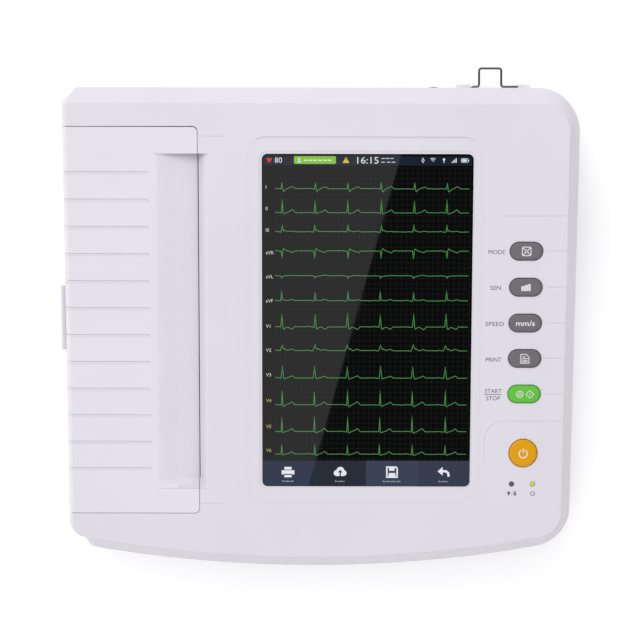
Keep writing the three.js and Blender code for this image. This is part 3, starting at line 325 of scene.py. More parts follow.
def tidy_mesh(thing):
    """Merges the flat triangles that the cuts leave, so that no sliver is left to catch the light."""
    build = bmesh.new()
    build.from_mesh(thing.data)
    bmesh.ops.remove_doubles(build, verts=build.verts, dist=MERGE)
    bmesh.ops.dissolve_degenerate(build, edges=build.edges, dist=MERGE)
    bmesh.ops.dissolve_limit(
        build, angle_limit=FLAT, use_dissolve_boundaries=False,
        verts=build.verts, edges=build.edges, delimit=set(),
    )
    build.to_mesh(thing.data)
    build.free()


def finish_piece(thing, name, material, body, node, bevel=0.0, angle=32):
    """Names a working object, brings it into the frame, and gives it its edge and its finish."""
    tidy_mesh(thing)
    thing.name = name
    thing.data.name = name
    thing.data.transform(PANEL)
    thing.data.materials.clear()
    thing.data.materials.append(material)
    thing.data.polygons.foreach_set("material_index", [0] * len(thing.data.polygons))
    soften(thing, bevel, angle)
    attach(thing, body)
    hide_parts(node)


def soften(thing, bevel, angle):
    """A small rounded edge and smooth shading that keeps the flats flat."""
    if bevel:
        modify(thing, "edge", "BEVEL", width=bevel * MM, segments=2, limit_method="ANGLE",
               angle_limit=math.radians(angle), use_clamp_overlap=False)
    thing.data.shade_smooth()
    thing.data.set_sharp_from_angle(angle=math.radians(angle + 8))
    modify(thing, "flats", "WEIGHTED_NORMAL", mode="FACE_AREA_WITH_ANGLE", keep_sharp=True, weight=60)


# ---------------- materials

FINE_GRAIN = 0.00002  # heights of bumps, in metres
GRAIN = 0.00003
COARSE_GRAIN = 0.00005
SHADE_REACH = 0.026  # how far round a corner the painted shade darkens the shells, in metres


def feed(tree, socket, value):
    """Sets a socket, or links it when the value is another node's output."""
    if isinstance(value, bpy.types.NodeSocket):
        tree.links.new(value, socket)
    else:
        socket.default_value = value


def add_node(tree, kind, sockets=None, **settings):
    """A new shader node with its settings made and its sockets fed."""
    made = tree.nodes.new(kind)
    for key, value in settings.items():
        setattr(made, key, value)
    for name, value in (sockets or {}).items():
        feed(tree, made.inputs[name], value)
    return made


def tint(colour, factor):
    return tuple(min(1.0, c * factor) for c in colour)


class Paint:
    """A node material with a Principled shader and the few textures that the finishes share."""

    def __init__(self, name, roughness, metallic=0.0):
        self.material = bpy.data.materials.new(name)
        self.material.use_nodes = True
        self.tree = self.material.node_tree
        self.shader = next(n for n in self.tree.nodes if n.type == "BSDF_PRINCIPLED")
        self.set("Roughness", roughness)
        self.set("Metallic", metallic)
        self.place = add_node(self.tree, "ShaderNodeTexCoord").outputs["Object"]

    def set(self, socket, value):
        feed(self.tree, self.shader.inputs[socket], value)

    def stretch(self, scale):
        sockets = {"Vector": self.place, "Scale": scale}
        return add_node(self.tree, "ShaderNodeMapping", sockets).outputs["Vector"]

    def noise(self, scale, detail=3.0, source=None):
        sockets = {"Vector": source or self.place, "Scale": scale, "Detail": detail}
        return add_node(self.tree, "ShaderNodeTexNoise", sockets).outputs["Fac"]

    def remap(self, value, first, last, low=0.0, high=1.0):
        sockets = {"Value": value, "From Min": first, "From Max": last, "To Min": low, "To Max": high}
        return add_node(self.tree, "ShaderNodeMapRange", sockets).outputs["Result"]

    def spread(self, value, low=0.0, high=1.0):
        """Maps the middle of a noise to the range low to high."""
        return self.remap(value, 0.3, 0.7, low, high)

    def colours(self, value, first, second):
        """A mix of two colours, each a triple or another node's output."""
        ends = [c if isinstance(c, bpy.types.NodeSocket) else (*c, 1) for c in (first, second)]
        sockets = {"Factor": value, 6: ends[0], 7: ends[1]}
        return add_node(self.tree, "ShaderNodeMix", sockets, data_type="RGBA").outputs[2]

    def shade(self, value, colour, low, high):
        """Lets the base colour drift between two tints of one colour."""
        self.set("Base Color", self.colours(value, tint(colour, low), tint(colour, high)))

    def gloss(self, value, low, high):
        self.set("Roughness", self.spread(value, low, high))

    def glow(self, colour, strength):
        self.set("Emission Color", (*colour, 1))
        self.set("Emission Strength", strength)

    def bump(self, height, strength, distance):
        sockets = {"Height": height, "Strength": strength, "Distance": distance}
        self.set("Normal", add_node(self.tree, "ShaderNodeBump", sockets).outputs["Normal"])

    def edges(self, radius):
        """1 on edges within the radius and 0 on flats."""
        soft = add_node(self.tree, "ShaderNodeBevel", {"Radius": radius}, samples=4)
        true = add_node(self.tree, "ShaderNodeNewGeometry")
        sockets = {0: soft.outputs["Normal"], 1: true.outputs["Normal"]}
        dot = add_node(self.tree, "ShaderNodeVectorMath", sockets, operation="DOT_PRODUCT")
        return self.remap(dot.outputs["Value"], 0.99, 0.85)

    def openness(self, distance):
        """1 in the open, falling towards 0 deep in a corner or hollow."""
        hollow = add_node(self.tree, "ShaderNodeAmbientOcclusion", {"Distance": distance}, samples=8)
        return self.remap(hollow.outputs["AO"], 0.35, 0.98)


def moulded_plastic(name, colour, roughness=0.46, grain=0.35, edge_wear_and_shade=1.05, rim=0.0005, specular=0.5, painted_shade=0.0):
    """Spark-eroded moulded plastic: fine grain, faint colour drift, rubbed edges, or edges darkened as
    painted shade.

    The shade factor is the share of light painted out of corners and hollows: painted shade where shade
    falls.
    """
    paint = Paint(name, roughness)
    base = paint.colours(paint.spread(paint.noise(14, 4)), tint(colour, 0.985), tint(colour, 1.012))
    # Painted shade: the colour darkens in corners and hollows, by ambient occlusion, where shade falls.
    if painted_shade:
        base = paint.colours(paint.openness(SHADE_REACH), tint(colour, 1 - painted_shade), base)
    # Edge colour: lighter where rubbed; below 1, as on the keys, painted shade on rims that turn from the
    # light.
    paint.set("Base Color", paint.colours(paint.edges(rim), base, tint(colour, edge_wear_and_shade)))
    paint.set("Specular IOR Level", specular)
    paint.gloss(paint.noise(55), *around(roughness, 0.05))
    paint.bump(paint.noise(2600, 2), grain, GRAIN)
    return paint.material


def gloss_plastic(name, colour, roughness=0.12, emission=0.0):
    paint = Paint(name, roughness)
    paint.shade(paint.noise(400, 2), colour, 0.9, 1.05)
    paint.gloss(paint.noise(90), roughness * 0.7, roughness * 1.5)
    if emission:
        paint.glow(colour, emission)
    paint.bump(paint.noise(700, 2), 0.1, FINE_GRAIN)
    return paint.material


def drawn_metal(name, colour, roughness, stretch):
    """Metal with fine lines along one axis and a few dull marks."""
    paint = Paint(name, roughness, 1.0)
    lines = paint.noise(900, 4, paint.stretch(stretch))
    paint.shade(paint.spread(paint.noise(120, 5)), colour, 0.88, 1.04)
    paint.gloss(lines, roughness * 0.75, roughness * 1.35)
    paint.bump(lines, 0.25, GRAIN)
    return paint.material


def rubber(name, colour, roughness=0.85, scale=900):
    """Dull rubber or foam with a little dust."""
    paint = Paint(name, roughness)
    paint.shade(paint.spread(paint.noise(60, 5)), colour, 1, 1.6)
    paint.gloss(paint.noise(150), roughness - 0.1, roughness + 0.08)
    paint.bump(paint.noise(scale), 0.4, COARSE_GRAIN)
    return paint.material


def circuit_board(name, colour):
    """Solder mask over copper tracks, which show as paler raised lines."""
    paint = Paint(name, 0.42)
    sockets = {"Vector": paint.place, "Scale": 260, "Mortar Size": 0.03}
    for part, factor in (("Color1", 1), ("Color2", 0.8), ("Mortar", 1.9)):
        sockets[part] = (*tint(colour, factor), 1)
    tracks = add_node(paint.tree, "ShaderNodeTexBrick", sockets)
    paint.set("Base Color", tracks.outputs["Color"])
    paint.gloss(paint.noise(200), 0.34, 0.5)
    paint.bump(tracks.outputs["Fac"], 0.3, 0.00004)
    return paint.material


def ceramic(name, colour):
    paint = Paint(name, 0.2)
    paint.shade(paint.noise(300), colour, 0.93, 1.03)
    paint.gloss(paint.noise(120), 0.15, 0.3)
    paint.bump(paint.noise(800, 2), 0.1, FINE_GRAIN)
    return paint.material


def touch_glass(name, colour):
    """Black-backed cover glass with faint finger marks."""
    paint = Paint(name, 0.05)
    paint.set("IOR", 1.5)
    marks = paint.noise(38, 6)
    paint.shade(marks, colour, 1, 1.6)
    paint.gloss(marks, 0.01, 0.03)
    return paint.material


def lit(name, colour):
    """Part of the screen picture: dark glass that gives off its own light."""
    paint = Paint(name, 0.05)
    paint.set("Base Color", (0.004, 0.004, 0.005, 1))
    paint.glow(colour, 1.0)
    paint.gloss(paint.noise(38, 6), 0.01, 0.03)
    return paint.material


def print_ink(name, colour):
    paint = Paint(name, 0.5)
    paint.shade(paint.noise(1500), colour, 0.9, 1.1)
    paint.gloss(paint.noise(300, 2), 0.42, 0.58)
    return paint.material


SHELL_COLOUR = (0.716, 0.690, 0.758)
COVER_COLOUR = (0.746, 0.720, 0.790)
# The shells and the paper cover darken in corners and hollows as painted shade.
SHELL = moulded_plastic("shell_plastic", SHELL_COLOUR, painted_shade=0.45)
# The base is a darker copy of the shell plastic: painted shade for its chin, which faces away from the
# light.
SHADED_BASE = moulded_plastic("shaded_base_plastic", tint(SHELL_COLOUR, 0.93), painted_shade=0.45)
BRACKET = moulded_plastic("bracket_plastic", (0.90, 0.89, 0.92))
COVER = moulded_plastic("cover_plastic", COVER_COLOUR, painted_shade=0.35)
# The keys' edge factors below 1 darken their rims as painted shade.
KEY_GREY = moulded_plastic("grey_key_plastic", (0.158, 0.149, 0.165), 0.5, 0.2, 0.42, 0.0014, 0.25)
KEY_GREEN = moulded_plastic("green_key_plastic", (0.118, 0.52, 0.045), 0.5, 0.2, 0.5, 0.0013, 0.2)
KEY_ORANGE = moulded_plastic("orange_key_plastic", (0.71, 0.33, 0.002), 0.5, 0.2, 0.8, 0.0005, 0.12)
BLACK = moulded_plastic("black_plastic", (0.02, 0.02, 0.022), 0.5, 0.4, 1.6)
WHITE = moulded_plastic("white_plastic", (0.62, 0.62, 0.60), 0.42, 0.3, 1.05)
LAMP_DARK = gloss_plastic("unlit_lamp", (0.12, 0.11, 0.13))
LAMP_GREEN = gloss_plastic("lit_lamp", (0.40, 0.47, 0.07), 0.12, 0.4)
WIRE = drawn_metal("bright_wire", (0.80, 0.81, 0.83), 0.22, (1, 1, 0.1))
BAIL_WIRE = drawn_metal("bail_wire", (0.25, 0.25, 0.255), 0.35, (1, 1, 0.1))
SHEET = drawn_metal("zinc_sheet", (0.56, 0.57, 0.60), 0.36, (1, 0.05, 1))
DARK_STEEL = drawn_metal("dark_steel", (0.16, 0.165, 0.17), 0.38, (1, 0.1, 1))
ALUMINIUM = drawn_metal("mill_aluminium", (0.62, 0.63, 0.65), 0.34, (1, 0.05, 1))
BRASS = drawn_metal("turned_brass", (0.62, 0.44, 0.16), 0.28, (1, 0.1, 1))
ROLLER = rubber("roller_rubber", (0.022, 0.022, 0.024), 0.7, 1600)
FOOT = rubber("foot_rubber", (0.02, 0.02, 0.021))
FOAM = rubber("gasket_foam", (0.03, 0.03, 0.03), 0.9, 2200)
BOARD = circuit_board("solder_mask", (0.015, 0.10, 0.04))
CERAMIC = ceramic("alumina", (0.66, 0.63, 0.52))
WRAP = gloss_plastic("battery_wrap", (0.03, 0.09, 0.26), 0.3)
GLASS = touch_glass("touch_glass", (0.0010, 0.0011, 0.0013))
LABEL_INK = print_ink("label_ink", (0.12, 0.115, 0.13))
KEY_INK = print_ink("key_ink", (0.72, 0.72, 0.74))

# ---------------- case outlines


def edge_profile(width, depth, top_round=EDGE_ROUND, low_round=1.5):
    """A chamfered edge as (inset, w) points from the face down, with its corners rounded."""
    below = -depth - 40
    corners = [(width + 60, 0, 0), (width, 0, top_round)]
    if width:
        corners.append((0, -depth, low_round))
    return filleted(corners + [(0, below, 0), (width + 60, below, 0)], 6)[1:-1]


def inset_at(profile, w):
    for (x0, w0), (x1, w1) in zip(profile, profile[1:]):
        if w1 <= w <= w0:
            share = (w0 - w) / (w0 - w1) if w0 > w1 else 0
            return x0 + (x1 - x0) * share
    return profile[0][0] if w > profile[0][1] else profile[-1][0]


RIGHT_EDGE = edge_profile(RIGHT_CHAMFER, BELT, low_round=0)
FRONT_EDGE = edge_profile(FRONT_CHAMFER, BELT, 1.2, low_round=0)
REAR_EDGE = edge_profile(REAR_CHAMFER, REAR_CHAMFER_DEPTH)
SQUARE_EDGE = edge_profile(0, 20, 1.6)
ROUND_LEVELS = [(0, -LEFT_ROUND_DEPTH * (1 - math.sin(math.radians(90 - 9 * k)))) for k in range(11)]
LEVEL_STEP = 0.045  # rings closer than this would make slivers


def levels(inset, bottom, *profiles):
    """The heights at which the rings of a form stand, from its face at the inset down."""
    heights = sorted({round(w, 2) for p in profiles for _, w in p if w > bottom + 0.1}, reverse=True)
    kept = [0.0]
    for w in heights:
        if kept[-1] - w > LEVEL_STEP:
            kept.append(w)
    return [-inset] + [w for w in kept if w < -inset - 0.2]


def front_line(x):
    return (x - FRONT_MIDDLE) ** 2 / (2 * FRONT_ARC)


def front_edge(front, start, stop, count):
    """Corners along the curved front edge."""
    stations = [start + (stop - start) * k / count for k in range(count + 1)]
    return [(x, front + front_line(x), 0) for x in stations]


def main_ring(w, inset=0.0, front_drop=0.0, rear_drop=0.0):
    """The body of the case at height w, with its curved front edge."""
    down = min(-w / BELT, 1)
    shrink = CORNER_SHRINK * (1 - down) + inset
    right = RIGHT - inset_at(RIGHT_EDGE, w) - inset
    front = FRONT + inset_at(FRONT_EDGE, w) + inset + front_drop
    rear = REAR - inset_at(REAR_EDGE, w) - inset - rear_drop
    left = CHIN_LEFT + inset
    tucked = right - FACE_TUCK - (FRONT_TUCK - FACE_TUCK) * down
    corners = [(left, front + front_line(left), max(CHIN_RADIUS - inset, 0.5))]
    corners += front_edge(front, left + 14, right - 50, 14)
    corners += [
        (tucked, front + front_line(tucked), FRONT_RIGHT_RADIUS - shrink),
        (right, rear, REAR_RIGHT_RADIUS - shrink),
        (left, rear, 0),
    ]
    return at_level(filleted(corners, 14), w)


def left_ring(w, inset=0.0, rear_drop=0.0):
    """The printer side of the case at height w, with its rounded left edge."""
    rise = max(0.0, 1 + w / LEFT_ROUND_DEPTH)
    left = LEFT + LEFT_ROUND * (1 - math.sqrt(1 - rise * rise)) + inset
    rear = REAR - inset_at(REAR_EDGE, w) - inset - rear_drop
    front = FRONT + FRONT_CHAMFER + inset + inset_at(SQUARE_EDGE, w)
    right = COVER_RIGHT + 10
    rear_left = left - REAR_FLARE
    away = TOP_CORNER_CUT + (REAR_LEFT_CUT - TOP_CORNER_CUT) * min(-w / REAR_CHAMFER_DEPTH, 1)
    corners = [(left, front + front_line(left), FRONT_LEFT_RADIUS - inset)]
    corners += front_edge(front, left + 16, right, 6)
    corners += [(right, rear, 0), (rear_left + away, rear, away / 4), (rear_left, rear - away, away / 4)]
    return at_level(filleted(corners, 10), w)


def upper_form(inset=0.0, bottom=-BELT):
    """The outer form of the upper case, moved in by inset."""
    heights = levels(inset, -BELT, RIGHT_EDGE, FRONT_EDGE, REAR_EDGE, SQUARE_EDGE, ROUND_LEVELS)
    heights = [w for w in heights if w > bottom + 0.05] + [bottom]
    body = loft([main_ring(w, inset) for w in heights])
    return join(body, loft([left_ring(w, inset) for w in heights]))


def left_form(inset=0.0):
    heights = levels(inset, COVER_BOTTOM, REAR_EDGE, SQUARE_EDGE, ROUND_LEVELS) + [COVER_BOTTOM]
    return loft([left_ring(w, inset) for w in heights])


def cover_outline(seam, rear_seam=0.0):
    outside = LEFT - 12
    right = COVER_RIGHT + seam
    return filleted([
        (outside, COVER_FRONT - seam, 0),
        (right, COVER_FRONT - seam, COVER_CORNER + seam),
        (right, COVER_REAR + max(seam, rear_seam), COVER_CORNER + seam),
        (outside, COVER_REAR + seam, 0),
    ])


# ---------------- top of the case

UNDER = -BELT - 2  # a height safely under the upper case


def screen_outline(grow):
    return rounded(grown(SCREEN_U, grow), grown(SCREEN_V, grow), SCREEN_CORNER + grow)


def screen_opening():
    """A thin raised lip round the screen, and the pocket that the glass lies in."""
    lip = stepped(screen_outline, (
        (LIP + 2, 2),
        (LIP + 0.5, -SURROUND_DEPTH + 0.02),
        (LIP - 0.5, -SURROUND_DEPTH - 0.52),
        (0.9, -SURROUND_DEPTH - 0.56),
        (0.5, -SURROUND_DEPTH - 0.38),
        (0.0, -SURROUND_DEPTH - 0.44),
        (0.0, -8),
    ))
    return [lip, prism(screen_outline(SCREEN_MARGIN + 0.3), -8, GLASS_TOP + 0.3)]


def screen_surround():
    """A shallow step round the screen, crisp at its ends and fading out at its sides."""
    def ring(side, end, w):
        outline = rounded(grown(SURROUND_U, side), grown(SURROUND_V, end), 12 + end, 12)
        return at_level(outline, w)
    return loft([ring(1.7, 0.9, 1), ring(1.3, 0.35, 0), ring(0, 0, -SURROUND_DEPTH)])


def trench(path, half, depth):
    """A V-shaped line cut in the face along a path of (u, v) points."""
    sides = []
    for i, here in enumerate(path):
        before = Vector(path[max(i - 1, 0)])
        after = Vector(path[min(i + 1, len(path) - 1)])
        along = (after - before).normalized()
        sides.append((Vector(here), Vector((-along.y, along.x))))
    lift = 0.5
    wide = half * (1 + lift / depth)
    section = ((-wide, lift), (0, -depth), (wide, lift))
    points = [(p.x + n.x * s, p.y + n.y * s, w) for p, n in sides for s, w in section]
    faces = [(0, 1, 2), tuple(len(points) - k for k in (1, 2, 3))]
    for i in range(0, len(points) - 3, 3):
        for j in range(3):
            k = (j + 1) % 3
            faces.append((i + j, i + k, i + 3 + k, i + 3 + j))
    return solid(points, faces)


def engraved_lines():
    """Fine lines from the keys to the right edge, round the power key, and beside the cover."""
    right = RIGHT - RIGHT_CHAMFER + 1.2
    key_end = KEY_U + KEY_LENGTH / 2 + 3
    zone_left, zone_rear, zone_radius = 108.8, -67.1, 13
    bend = arc(zone_left + zone_radius, zone_rear - zone_radius, zone_radius, math.pi, -math.pi / 2, 10)
    lines = []
    for key in KEYS:
        v = panel_centre(key)[1]
        lines.append([(key_end, v), (right, v)])
    lines.append([(KEY_U - 14.4, 68.1), (right, 68.1)])
    lines.append([(zone_left, -94)] + bend + [(right, zone_rear)])
    for v, length in ((119.3, 18), (-122.8, 16)):
        lines.append([(COVER_RIGHT + 1.5, v), (COVER_RIGHT + length, v)])
    return [trench(line, 0.4, 0.35) for line in lines]


def fold_lines():
    return [trench([(u, -112), (u, 110)], 1.5, 0.22) for u in (-61.4, -53)]


def key_outline(key, grow):
    u, v = panel_centre(key)
    if key == "power_key":
        return circle(u, v, POWER_RADIUS + grow, 64)
    return capsule(KEY_U, v, KEY_LENGTH + 2 * grow, KEY_WIDTH + 2 * grow)


# the gap round a key or lamp at each height, with a small sloping edge at the face
KEY_HOLE = ((1.4, 1), (0.32, 0.0), (0.1, -0.25), (0.08, -5))
LAMP_HOLE = ((1.3, 1), (0.45, 0.0), (0.12, -0.3), (0.12, -5))


def key_openings():
    holes = [stepped(lambda gap: key_outline(key, gap), KEY_HOLE) for key in ALL_KEYS]
    for lamp in LAMPS:
        holes.append(stepped(lambda gap: circle(*panel_centre(lamp), LAMP_RADIUS + gap, 32), LAMP_HOLE))
    return holes


def scoop_far_side():
    """The steeper side of the scoop, to the right of the paper slot."""
    left = COVER_RIGHT + SEAM - 1
    rings = []
    for v, share in ((SCOOP_REAR, 1.0), (SCOOP_FRONT, 1.0), (SCOOP_TOE, 0.02)):
        depth = SCOOP_DEPTH * share
        section = [
            (left, -depth), (left + 2.6, -depth * 0.62), (left + 5, -depth * 0.2),
            (SCOOP_FAR, 0.0), (SCOOP_FAR, 2.0), (left, 2.0),
        ]
        rings.append([(u, v, w) for u, w in section])
    return loft(rings)


def case_top():
    """The upper shell, with the well under the paper cover and every opening in the panel."""
    body = cut(upper_form(), upper_form(WALL, -BELT - 1))
    well_rim = trim(upper_form(), prism(cover_outline(2.8), -BELT - 1, 0.5))
    slot_bar = box((COVER_RIGHT, -70.5), (-112.5, 110.5), (-9, -0.6))
    paper_slot = box((COVER_RIGHT - 1, COVER_RIGHT + SEAM), (SCOOP_TOE, SCOOP_REAR), (UNDER, 0))
    beside_slot = (COVER_RIGHT - 1, -76)
    printer_room = [
        box(beside_slot, (-115, 119), (UNDER, -9)),
        box(beside_slot, (112, 119), (UNDER, -3.5)),
        box((-97, -62), (118, 146), (UNDER, -9)),
    ]
    tear_bar_seat = box((-80, -78.1), (-107, 107), (-9.5, -5.2))
    return cut(
        join(body, well_rim, slot_bar),
        seam_ledge(),
        paper_slot,
        scoop_far_side(),
        *printer_room,
        tear_bar_seat,
        screen_surround(),
        *screen_opening(),
        *engraved_lines(),
        *fold_lines(),
        *key_openings(),
    )


# ---------------- paper cover


def scoop_section(drop=0.0):
    """The finger scoop across u: over a soft brow, down, and out flat towards the slot."""
    left = SCOOP_LEFT - 14
    right = COVER_RIGHT + 0.02
    return filleted([
        (left, -drop, 0),
        (SCOOP_LEFT + 3, -drop, 12),
        (SCOOP_LEFT + 15, -3.1 - drop, 18),
        (right, -SCOOP_DEPTH - drop, 0),
        (right, 6, 0),
        (left, 6, 0),
    ], 10)


def scoop_space():
    """Full depth between its two ends, running out at the front toe."""
    section = scoop_section()
    steps = 7
    rings = [[(u, SCOOP_REAR, w) for u, w in section]]
    for k in range(steps + 1):
        share = 1 - (k / steps) ** 2 * 0.98
        v = SCOOP_FRONT + (SCOOP_TOE - SCOOP_FRONT) * k / steps
        rings.append([(u, v, w * share if w < 0 else w) for u, w in section])
    return loft(rings)


def scoop_skin():
    """The underside that follows the scoop."""
    section = scoop_section(COVER_SKIRT)
    ends = (SCOOP_REAR + COVER_SKIRT, SCOOP_TOE - COVER_SKIRT)
    return loft([[(u, v, min(w, -0.5)) for u, w in section] for v in ends])


def cover_grooves():
    """Shallow steps across the cover that follow its rounded left edge."""
    stations = [GROOVE_REAR - i * GROOVE_PITCH for i in range(GROOVE_COUNT)]
    slabs = [box((LEFT - 5, GROOVE_RIGHT), around(v, GROOVE_WIDTH / 2), (-15, 2)) for v in stations]
    return cut(join(*slabs), left_form(GROOVE_DEPTH))


def seam_ledge():
    """The step in the body that the cover's ends and right edge close down on."""
    tight = 0.06
    steps = ((SEAM, 1), (SEAM, -LEDGE), (tight, -LEDGE - 0.2), (tight, UNDER))
    return stepped(lambda gap: cover_outline(gap, REAR_SEAM), steps)


def paper_door():
    """The paper cover: a thin plate with a skirt, hinge knuckles, and posts for the cover frame."""
    plate = trim(left_form(), prism(cover_outline(0), COVER_BOTTOM, 1))
    inner_v = (COVER_FRONT + COVER_SKIRT, COVER_REAR - COVER_SKIRT)
    room = trim(left_form(WALL + 0.2), box((-200, COVER_RIGHT - COVER_SKIRT), inner_v, (-60, -WALL)))
    skin = trim(scoop_skin(), prism(cover_outline(0), COVER_BOTTOM, -0.4))
    all_v = (-200, 200)
    below_hinge_side = box((-160, 0), all_v, (-60, -8))
    below_slot_side = box((-84, 0), all_v, (-60, -8.9))
    door = cut(plate, room, below_hinge_side, below_slot_side)
    posts = [rod((-103, v), 3, (-8.7, -2), 2, 16) for v in (-90, -30, 30, 90)]
    posts.append(box((-150.5, -148.5), (-6.6, 5.4), (-14, -2)))
    near, far = KNUCKLE / 2 + 0.3, 1.5 * KNUCKLE
    knuckles = []
    notches = []
    for v in HINGE_STATIONS:
        knuckles += [rod(HINGE, 2.2, span, 1, 24) for span in ((v - far, v - near), (v + near, v + far))]
        notches.append(box((LEFT - 5, LEFT + 8), around(v, near), (-30, HINGE[1] + 2.8)))
    door = join(door, skin, *posts, *knuckles)
    gap = 0.3
    button_v = grown(panel_span("release_button")[1], gap - 2)
    button_hole = box((LEFT - 5, LEFT + 6), button_v, grown((-17, -10), gap))
    pin_hole = rod(HINGE, 1.3, (-98.5, 98.5), 1, 16)
    return cut(door, scoop_space(), cover_grooves(), pin_hole, *notches, button_hole)


# ---------------- base of the case


def base_form(inset, top):
    """The walls of the base, which carry the lines of the top on down."""
    bottom = -90
    fall = -bottom - BELT
    upright = fall * math.tan(SLOPE)
    main = loft([main_ring(top, inset), main_ring(bottom, inset, CHIN_SLANT * fall, upright)])
    return join(main, loft([left_ring(top, inset), left_ring(bottom, inset, upright)]))


def base_slab(*rings):
    """A block with rounded corners through upright (inset, height) rings."""
    def ring(inset, z):
        u = grown((LEFT - 0.4, RIGHT), -inset)
        v = grown((BASE_FRONT, BASE_REAR), -inset)
        return [LEVEL_TO_PANEL @ Vector((x, y, z)) for x, y in rounded(u, v, BASE_CORNER, 12)]
    return loft([ring(inset, z) for inset, z in rings])


def case_base():
    """The lower shell: slanting walls, a flat underside with a chamfer, and four screw bosses."""
    reveal = 0.5
    far = -40
    foot = FLOOR_BOTTOM + BASE_CHAMFER
    chamfer = ((0, foot), (1.4, FLOOR_BOTTOM + 1.5), (BASE_CHAMFER, FLOOR_BOTTOM))
    slab = base_slab((far, 100), (far, foot + 20), *chamfer)
    hollow = base_slab((far, 120), (far + WALL, foot + 20), (WALL, foot), (WALL + 1, FLOOR_TOP))
    outer = trim(base_form(reveal, -BELT - 0.3), slab)
    inside = trim(base_form(reveal + WALL, -BELT + 1), hollow)
    bosses = [level_rod(level_centre(name), 5.5, (FLOOR_BOTTOM + 0.5, 13.4)) for name in CASE_SCREWS]
    return cut(join(cut(outer, inside), *bosses), *base_openings())


def level_span(node):
    """The upright extent of a node, in millimetres from the panel's own origin and the floor."""
    low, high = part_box(node)
    return [(low[i] / MM - shift, high[i] / MM - shift) for i, shift in enumerate((*ORIGIN.xy, 0))]


def level_centre(node, axes=(0, 1)):
    spans = level_span(node)
    return [sum(spans[axis]) / 2 for axis in axes]


def base_openings():
    """Sockets in the rear and right walls, the battery bay, the sound slots and the screw holes."""
    wall_v = (REAR - 12, REAR + 10)
    gap = 0.3
    openings = []
    for node in ("usb_port", "network_port"):
        u, _, w = level_span(node)
        openings.append(level_box(grown(u, gap), wall_v, grown(w, gap)))
    u, w = level_centre("mains_inlet", (0, 2))
    openings.append(level_box(around(u, 14.3), wall_v, around(w, 10.3)))
    _, v, w = level_span("patient_connector")
    openings.append(level_box((RIGHT - 8, RIGHT + 8), grown(v, -2.7), grown(w, -1.7)))
    openings.append(levelled(rod(level_centre("earth_terminal", (0, 2)), 3.3, wall_v, 1)))
    u, v, _ = level_span("battery_cover")
    above_floor = FLOOR_TOP + 1
    openings.append(level_box(grown(u, -3.6), (v[0] + 3.6, v[1] - 6.6), (0, above_floor)))
    openings.append(level_box(grown(u, 0.4), grown(v, 0.4), (0, FLOOR_BOTTOM + 1.6)))
    u, v = level_centre("speaker")
    for i in range(-2, 3):
        openings.append(levelled(prism(capsule(u, v + 5 * i, 22, 2, 6), 0, above_floor)))
    openings.append(box((LEFT - 5, LEFT + 8), (COVER_FRONT - 0.6, COVER_REAR + 0.6), (-24, 0)))
    head, shank = (3.6, 9), (1.8, 14)
    holes = [(name, *hole) for name in CASE_SCREWS for hole in (head, shank)]
    holes += [(name, 1.3, 9.5) for name in BATTERY_SCREWS]
    holes += [(name, 2.3, above_floor) for name in FEET]
    return openings + [level_rod(level_centre(name), radius, (0, top)) for name, radius, top in holes]


# ---------------- keys and lamps


def key_cap(key):
    """A cap with a rounded shoulder and a slightly dished top."""
    top = 1.1
    slack = 0.18
    radius = POWER_RADIUS if key == "power_key" else KEY_WIDTH / 2
    shoulder = [(slack, -2.9), (slack, 0.1), (0.3, 0.42), (0.6, 0.7), (1.05, 0.92), (1.5, 1.04), (1.95, top)]
    dish = [(2.4, top - 0.03), (radius * 0.55, top - 0.08), (radius * 0.85, top - 0.1)]
    return stepped(lambda inset: key_outline(key, -inset), reversed(shoulder + dish))


def build_keys():
    """Each key is a cap on a flange that keeps it in, with a stem over its switch."""
    paints = {"start_stop_key": (KEY_GREEN, "key_green"), "power_key": (KEY_ORANGE, "key_orange")}
    for key in ALL_KEYS:
        material, slot = paints.get(key, (KEY_GREY, "key_grey"))
        centre = panel_centre(key)
        flange = circle(*centre, POWER_RADIUS + 1.8) if key == "power_key" else key_outline(key, 1.5)
        stem = rod(centre, 2.5, (-4.9, -3.5), 2, 16)
        body = join(key_cap(key), prism(flange, -4.1, -3.0), stem)
        finish_piece(body, f"{key}_cap", material, key, key, angle=35)


def build_lamps():
    dome = ((0.05, 0.42), (0.5, 0.38), (0.95, 0.25), (1.3, 0.02), (1.5, -0.35), (1.5, -7.6))
    paints = ((LAMP_DARK, "lamp_dark"), (LAMP_GREEN, "lamp_green"))
    for lamp, (material, slot) in zip(LAMPS, paints):
        pipe = stepped(lambda radius: circle(*panel_centre(lamp), radius, 32), dome)
        finish_piece(pipe, f"{lamp}_pipe", material, "case", lamp, angle=40)

# ---------------- prints


